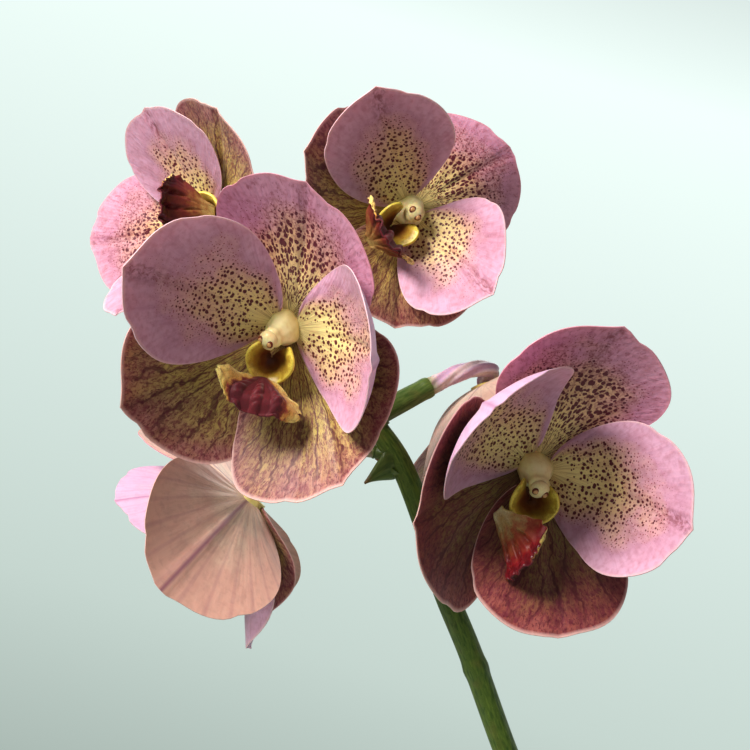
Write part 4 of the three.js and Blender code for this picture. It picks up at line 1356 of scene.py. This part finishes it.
# %% Clay finish
def clay_skin():
    """Matt fired clay: cloudy orange brown, fine grit, thrown rings, white bloom and a damp dark foot."""
    material, tree, shader = start_material("unglazed terracotta", Roughness=0.86, IOR=1.45)
    spot = add_node(tree, "TexCoord", output=3)
    height = add_node(tree, "SeparateXYZ", spot, output=2)
    clouds = add_node(tree, "TexNoise", spot, 1 / (45 * MM), 5)
    grit = add_node(tree, "TexNoise", spot, 1 / (0.8 * MM), 4)
    flat_spot = add_node(tree, "VectorMath", spot, (1, 1, 9), operation="MULTIPLY")
    rings = add_node(tree, "TexNoise", flat_spot, 1 / (30 * MM), 3)
    bloom = add_node(tree, "TexNoise", spot, 1 / (16 * MM), 6, 0.65)
    low_bloom = add_node(tree, "MapRange", height, 0.105, 0.02, 0, 0.16)
    bloomed = add_node(tree, "Math", bloom, low_bloom, operation="ADD")
    colour = add_node(tree, "ValToRGB", clouds, stops=[
        (0.3, "9A5233"), (0.5, "B5653F"), (0.7, "C47A50"),
    ])
    pits = add_node(tree, "TexVoronoi", spot, 1 / (2.6 * MM))
    damp = add_node(tree, "Math", clouds, 0.04, height, operation="MULTIPLY_ADD")
    layers = [
        (add_node(tree, "MapRange", rings, 0.4, 0.65, 0, 0.35), "8C4A30"),
        (add_node(tree, "MapRange", grit, 0.55, 0.75, 0, 0.4), "D9A27C"),
        (add_node(tree, "MapRange", pits, 0.14, 0.08, 0, 0.5), "6E3A26"),
        (add_node(tree, "MapRange", damp, 0.045, 0.02, 0, 0.4), "6A3C2A"),
        (add_node(tree, "MapRange", bloomed, 0.55, 0.78, 0, 0.75), "D8CCBC"),
    ]
    relief = add_node(tree, "Math", rings, 0.5, grit, operation="MULTIPLY_ADD")
    finish_material(tree, shader, colour, layers, relief, 0.5, 0.5)
    return material


CLAY_SKIN = clay_skin()
print("clay finish")


# %% Helpers for turned shapes
def rounded_profile(corners, step):
    """Walks round a profile's corners, given as radius, height and rounding, in steps of about that size."""
    line = [Vector(corners[0][:2])]
    for before, corner, after in zip(corners, corners[1:], corners[2:]):
        middle, rounding = Vector(corner[:2]), corner[2]
        start = middle + (Vector(before[:2]) - middle).normalized() * rounding
        end = middle + (Vector(after[:2]) - middle).normalized() * rounding
        count = max(1, round((start - line[-1]).length / step))
        line += [line[-1].lerp(start, i / count) for i in range(1, count)]
        line += [start.lerp(middle, t).lerp(middle.lerp(end, t), t) for t in (0, 0.25, 0.5, 0.75, 1)]
    last = Vector(corners[-1][:2])
    count = max(1, round((last - line[-1]).length / step))
    return line + [line[-1].lerp(last, i / count) for i in range(1, count + 1)]


def turn_profile(name, line, columns, materials, wobble):
    """Turns a profile from the axis back to the axis. wobble(height, angle) is added to its radius."""
    rows = len(line) - 1
    piece = start_grid(name, rows, columns, materials)

    def surface(u, v):
        radius, height = line[round(u * rows)]
        radius += wobble(height, math.pi * v) * smooth(radius, 20, 40)
        return Vector((radius * math.cos(math.pi * v), radius * math.sin(math.pi * v), height)),

    shape_grid(piece, surface)
    close_seams(piece)
    return piece


# %% Pot shape
POT_HEIGHT = 145
POT_FOOT, POT_TOP, POT_RIM = 50, 76, 82
POT_WALL, POT_FLOOR, RIM_FOOT = 6, 9, 119
HOLE_RADIUS, HOLE_CIRCLE, HOLE_COUNT = 6, 28, 4


def pot_outside(height):
    return lerp(POT_FOOT, POT_TOP, height / POT_HEIGHT)


def pot_inside(height):
    return pot_outside(height) - POT_WALL


POT_CORNERS = [
    (0, 0, 0), (POT_FOOT, 0, 1.5), (pot_outside(RIM_FOOT), RIM_FOOT, 1),
    (POT_RIM - 1.5, RIM_FOOT, 1.8), (POT_RIM, POT_HEIGHT - 1, 2.2), (POT_RIM - 2.2, POT_HEIGHT, 1.2),
    (pot_inside(POT_HEIGHT), POT_HEIGHT, 2.2), (pot_inside(POT_FLOOR), POT_FLOOR, 4), (0, POT_FLOOR, 0),
]


def thrown(height, angle):
    """The rings that fingers leave, and a rim that isn't quite round, in millimetres."""
    rings = 0.14 * math.sin(1.45 * height + 0.6 * math.sin(angle)) + 0.1 * math.sin(0.53 * height + angle)
    return rings * smooth(height, 2, 8) + 0.25 * math.cos(2 * angle + 0.4) * smooth(height, 10, 60)


pot = turn_profile("pot_clay", rounded_profile(POT_CORNERS, 2.4), 160, (CLAY_SKIN,), thrown)

# %% Drain holes
drills = []
for i in range(HOLE_COUNT):
    turn = math.radians(45 + 90 * i)
    place = (HOLE_CIRCLE * MM * math.cos(turn), HOLE_CIRCLE * MM * math.sin(turn), 0)
    drills.append(start_piece(
        "drill", bpy.ops.mesh.primitive_cylinder_add,
        vertices=40, radius=HOLE_RADIUS * MM, depth=30 * MM, location=place,
    ))
drill = join_pieces(drills, "drill")
apply_modifier(pot, "BOOLEAN", operation="DIFFERENCE", object=drill, solver="EXACT")
bpy.data.objects.remove(drill)
place_piece(pot, "clay", "pot", angle=35)
print("pot of", len(pot.data.polygons), "faces")

# %% [markdown]
# ## Potting bark
#
# Vandas in pots stand in coarse bark and charcoal. Five chunks are modelled, each from a small block that is
# roughened by a formula. They are copied, turned and laid over the fill in seeded random order, clear of the
# stem and the roots, so that gaps stay between them.

# %% Bark finish
def bark_skin(name, light, dark, scale):
    """Flaky bark: dark grain along each chunk's layers and pale dusty specks, quite matt."""
    material, tree, shader = start_material(name, Roughness=0.9, IOR=1.4)
    layer = add_node(tree, "Attribute", attribute_name="chunk", output=1)
    spot = add_node(tree, "TexCoord", output=3)
    flakes = add_node(tree, "TexNoise", layer, scale, 5, 0.65)
    grain = add_node(tree, "TexNoise", spot, 1 / (1.3 * MM), 4)
    share = add_node(tree, "MapRange", flakes, 0.35, 0.68)
    colour = add_node(tree, "Mix", share, linear(dark), linear(light), data_type="RGBA")
    dust = add_node(tree, "MapRange", grain, 0.56, 0.72, 0, 0.5)
    relief = add_node(tree, "Math", grain, 0.5, flakes, operation="MULTIPLY_ADD")
    finish_material(tree, shader, colour, [(dust, "B09A7A")], relief, 0.8, 1.0)
    return material


BARK_SKIN = bark_skin("pine bark chunk", "8A6242", "3E2A1C", 0.5)
CHARCOAL_SKIN = bark_skin("charcoal chunk", "3A3634", "141314", 0.3)
print("bark and charcoal finishes")

# %% Chunk shape
# Length, width and thickness of the five chunks; the third is charcoal
CHUNKS = [(12, 8, 4.5), (14, 9, 4), (9, 8, 6), (16, 7, 5), (10, 10, 4)]
CHARCOAL_CHUNK = 2
ROUGH, ROUGH_UP = 0.9, 0.6
ALONG_GRAIN, ACROSS_GRAIN = 0.25, 1.6


def model_chunk(size, draw, skin):
    """A block with about fifty faces, whose layers step and whose corners are broken."""
    chunk = start_piece("chunk", bpy.ops.mesh.primitive_cube_add, skin, size=2)
    bpy.ops.object.mode_set(mode="EDIT")
    bpy.ops.mesh.subdivide(number_cuts=2)
    bpy.ops.object.mode_set(mode="OBJECT")
    for vertex in chunk.data.vertices:
        x, y, z = vertex.co
        rounder = 1 - 0.16 * (x * x * y * y + y * y * z * z + z * z * x * x)
        vertex.co = Vector((
            size[0] / 2 * x * rounder + draw.uniform(-ROUGH, ROUGH),
            size[1] / 2 * y * rounder + draw.uniform(-ROUGH, ROUGH),
            size[2] / 2 * z * rounder + draw.uniform(-ROUGH_UP, ROUGH_UP),
        ))
    attribute = chunk.data.attributes.new("chunk", "FLOAT_VECTOR", "POINT")
    for vertex, written in zip(chunk.data.vertices, attribute.data):
        written.vector = (vertex.co.x * ALONG_GRAIN, vertex.co.y, vertex.co.z * ACROSS_GRAIN)
    return chunk


draw = random.Random(7)
models = [
    model_chunk(size, draw, CHARCOAL_SKIN if i == CHARCOAL_CHUNK else BARK_SKIN)
    for i, size in enumerate(CHUNKS)
]
print(len(models), "chunk models")

# %% Fill under the chunks, which they stand on and which no eye reaches
FILL_FLOOR, FILL_TOP, FILL_GAP = POT_FLOOR + 0.4, 117, 0.4
FILL_CORNERS = [
    (0, FILL_FLOOR, 0), (pot_inside(FILL_FLOOR) - FILL_GAP, FILL_FLOOR, 1),
    (pot_inside(FILL_TOP) - FILL_GAP, FILL_TOP, 1), (0, FILL_TOP, 0),
]
fill = turn_profile("fill", rounded_profile(FILL_CORNERS, 8), 64, (BARK_SKIN,), lambda height, angle: -0.2)

# %% Lay the chunks in two layers
BARK_LEVEL = 119
# Height of each layer and the distance between its chunks
CHUNK_LAYERS = [(0, 10.5), (4.5, 13)]
ROOM_BY_STEM, ROOM_BY_WALL, ROOM_BY_ROOTS = 7, 7.5, 9
root_places = [smooth_line(points, 60) for points in ROOT_LINES]


def distance_to_roots(place):
    return min((point - place).length for line in root_places for point in line)


pieces = [fill]
for layer, pitch in CHUNK_LAYERS:
    reach = pot_inside(BARK_LEVEL + layer)
    steps = int(reach / pitch) + 1
    for i in range(-steps, steps + 1):
        for j in range(-steps, steps + 1):
            x = (i + 0.5 * (j % 2)) * pitch + draw.uniform(-2, 2)
            y = j * pitch * 0.87 + draw.uniform(-2, 2)
            spot = Vector((x, y, BARK_LEVEL + layer + draw.uniform(-1.5, 1.5)))
            model = draw.choice(models)
            turns = [draw.uniform(-0.45, 0.45), draw.uniform(-0.45, 0.45), draw.uniform(0, 6.3)]
            clear = STEM_RADIUS + ROOM_BY_STEM <= math.hypot(x, y) <= reach - ROOM_BY_WALL
            if not clear or distance_to_roots(spot) < ROOM_BY_ROOTS:
                continue
            chunk = model.copy()
            chunk.data = model.data.copy()
            bpy.context.scene.collection.objects.link(chunk)
            turned = Matrix.Rotation(turns[2], 4, "Z") @ Matrix.Rotation(turns[0], 4, "X")
            turned = turned @ Matrix.Rotation(turns[1], 4, "Y")
            chunk.data.transform(Matrix.Scale(MM, 4) @ Matrix.Translation(spot) @ turned)
            pieces.append(chunk)
for model in models:
    bpy.data.objects.remove(model)
bark = join_pieces(pieces, "potting_bark_chunks")
place_piece(bark, "bark", "potting_bark", angle=30)
print("bark of", len(pieces), "pieces and", len(bark.data.polygons), "faces")

# %% [markdown]
# ## Floor and light
#
# The plant stands on a pale floor in soft light, as by a greenhouse wall: a bright pale room around it at the
# height of the flowers, darker above and below, a wide lamp on its left, and a faint one behind it that
# shines through the petals. A single bright room would light the flowers flatly, so the part of it behind the
# camera is dimmer, and the left lamp models the petals.

# %% Floor
FLOOR_RADIUS = 1500


def floor_material():
    """Pale plaster, trowelled and matt."""
    material, tree, shader = start_material("pale matt plaster", Roughness=0.8)
    spot = add_node(tree, "TexCoord", output=3)
    grain = add_node(tree, "TexNoise", spot, 40, 4)
    colour = add_node(tree, "Mix", grain, linear("D9E3DE"), linear("E2EBE6"), data_type="RGBA")
    finish_material(tree, shader, colour, [], grain, 0.1, 0.5)
    return material


floor = start_piece(
    "floor", bpy.ops.mesh.primitive_circle_add, floor_material(),
    vertices=128, radius=FLOOR_RADIUS * MM, fill_type="NGON", location=(0, 0, -MM),
)
bpy.ops.object.transform_apply(location=True)
print("floor", 2 * FLOOR_RADIUS, "mm across")

# %% Room
room = bpy.data.worlds.new("pale room")
bpy.context.scene.world = room
room.use_nodes = True
tree = room.node_tree
direction = add_node(tree, "TexCoord")
across, away, height = add_node(tree, "SeparateXYZ", direction).node.outputs
slant = add_node(tree, "Math", across, 0.3, height, operation="MULTIPLY_ADD")
share = add_node(tree, "MapRange", slant, -1, 1)
shade = add_node(tree, "ValToRGB", share, stops=[
    (0.2, "5C625F"), (0.33, "AEBBB5"), (0.4, "CAD8D2"), (0.5, "DCEAE5"), (0.62, "F2FFFB"), (0.72, "B9C2BF"),
    (0.85, "7F8684"),
])
background = tree.nodes["Background"]
tree.links.new(shade, background.inputs["Color"])
strength = add_node(tree, "MapRange", away, -0.35, 0.5, 0.42, 1.04, **SOFT)
tree.links.new(strength, background.inputs["Strength"])
print("room with", len(tree.nodes), "nodes")


# %% Lamps
def add_lamp(name, size, power, place, aim, colour):
    data = bpy.data.lights.new(name, "AREA")
    data.shape = "DISK"
    data.size = size
    data.energy = power
    data.color = linear(colour)[:3]
    lamp = bpy.data.objects.new(name, data)
    lamp.location = place
    lamp.rotation_euler = (Vector(aim) - Vector(place)).to_track_quat("-Z", "Y").to_euler()
    bpy.context.scene.collection.objects.link(lamp)


FLOWERS_MIDDLE = (-0.11, 0.02, 0.53)
add_lamp("left lamp", 0.4, 17, (-0.6, -0.48, 1.17), FLOWERS_MIDDLE, "FFF8F2")
add_lamp("back lamp", 0.9, 6, (0.35, 1.0, 1.25), FLOWERS_MIDDLE, "FFFFFF")
bpy.context.scene.view_settings.view_transform = "Standard"
bpy.context.scene.view_settings.gamma = 0.86
print("two lamps")
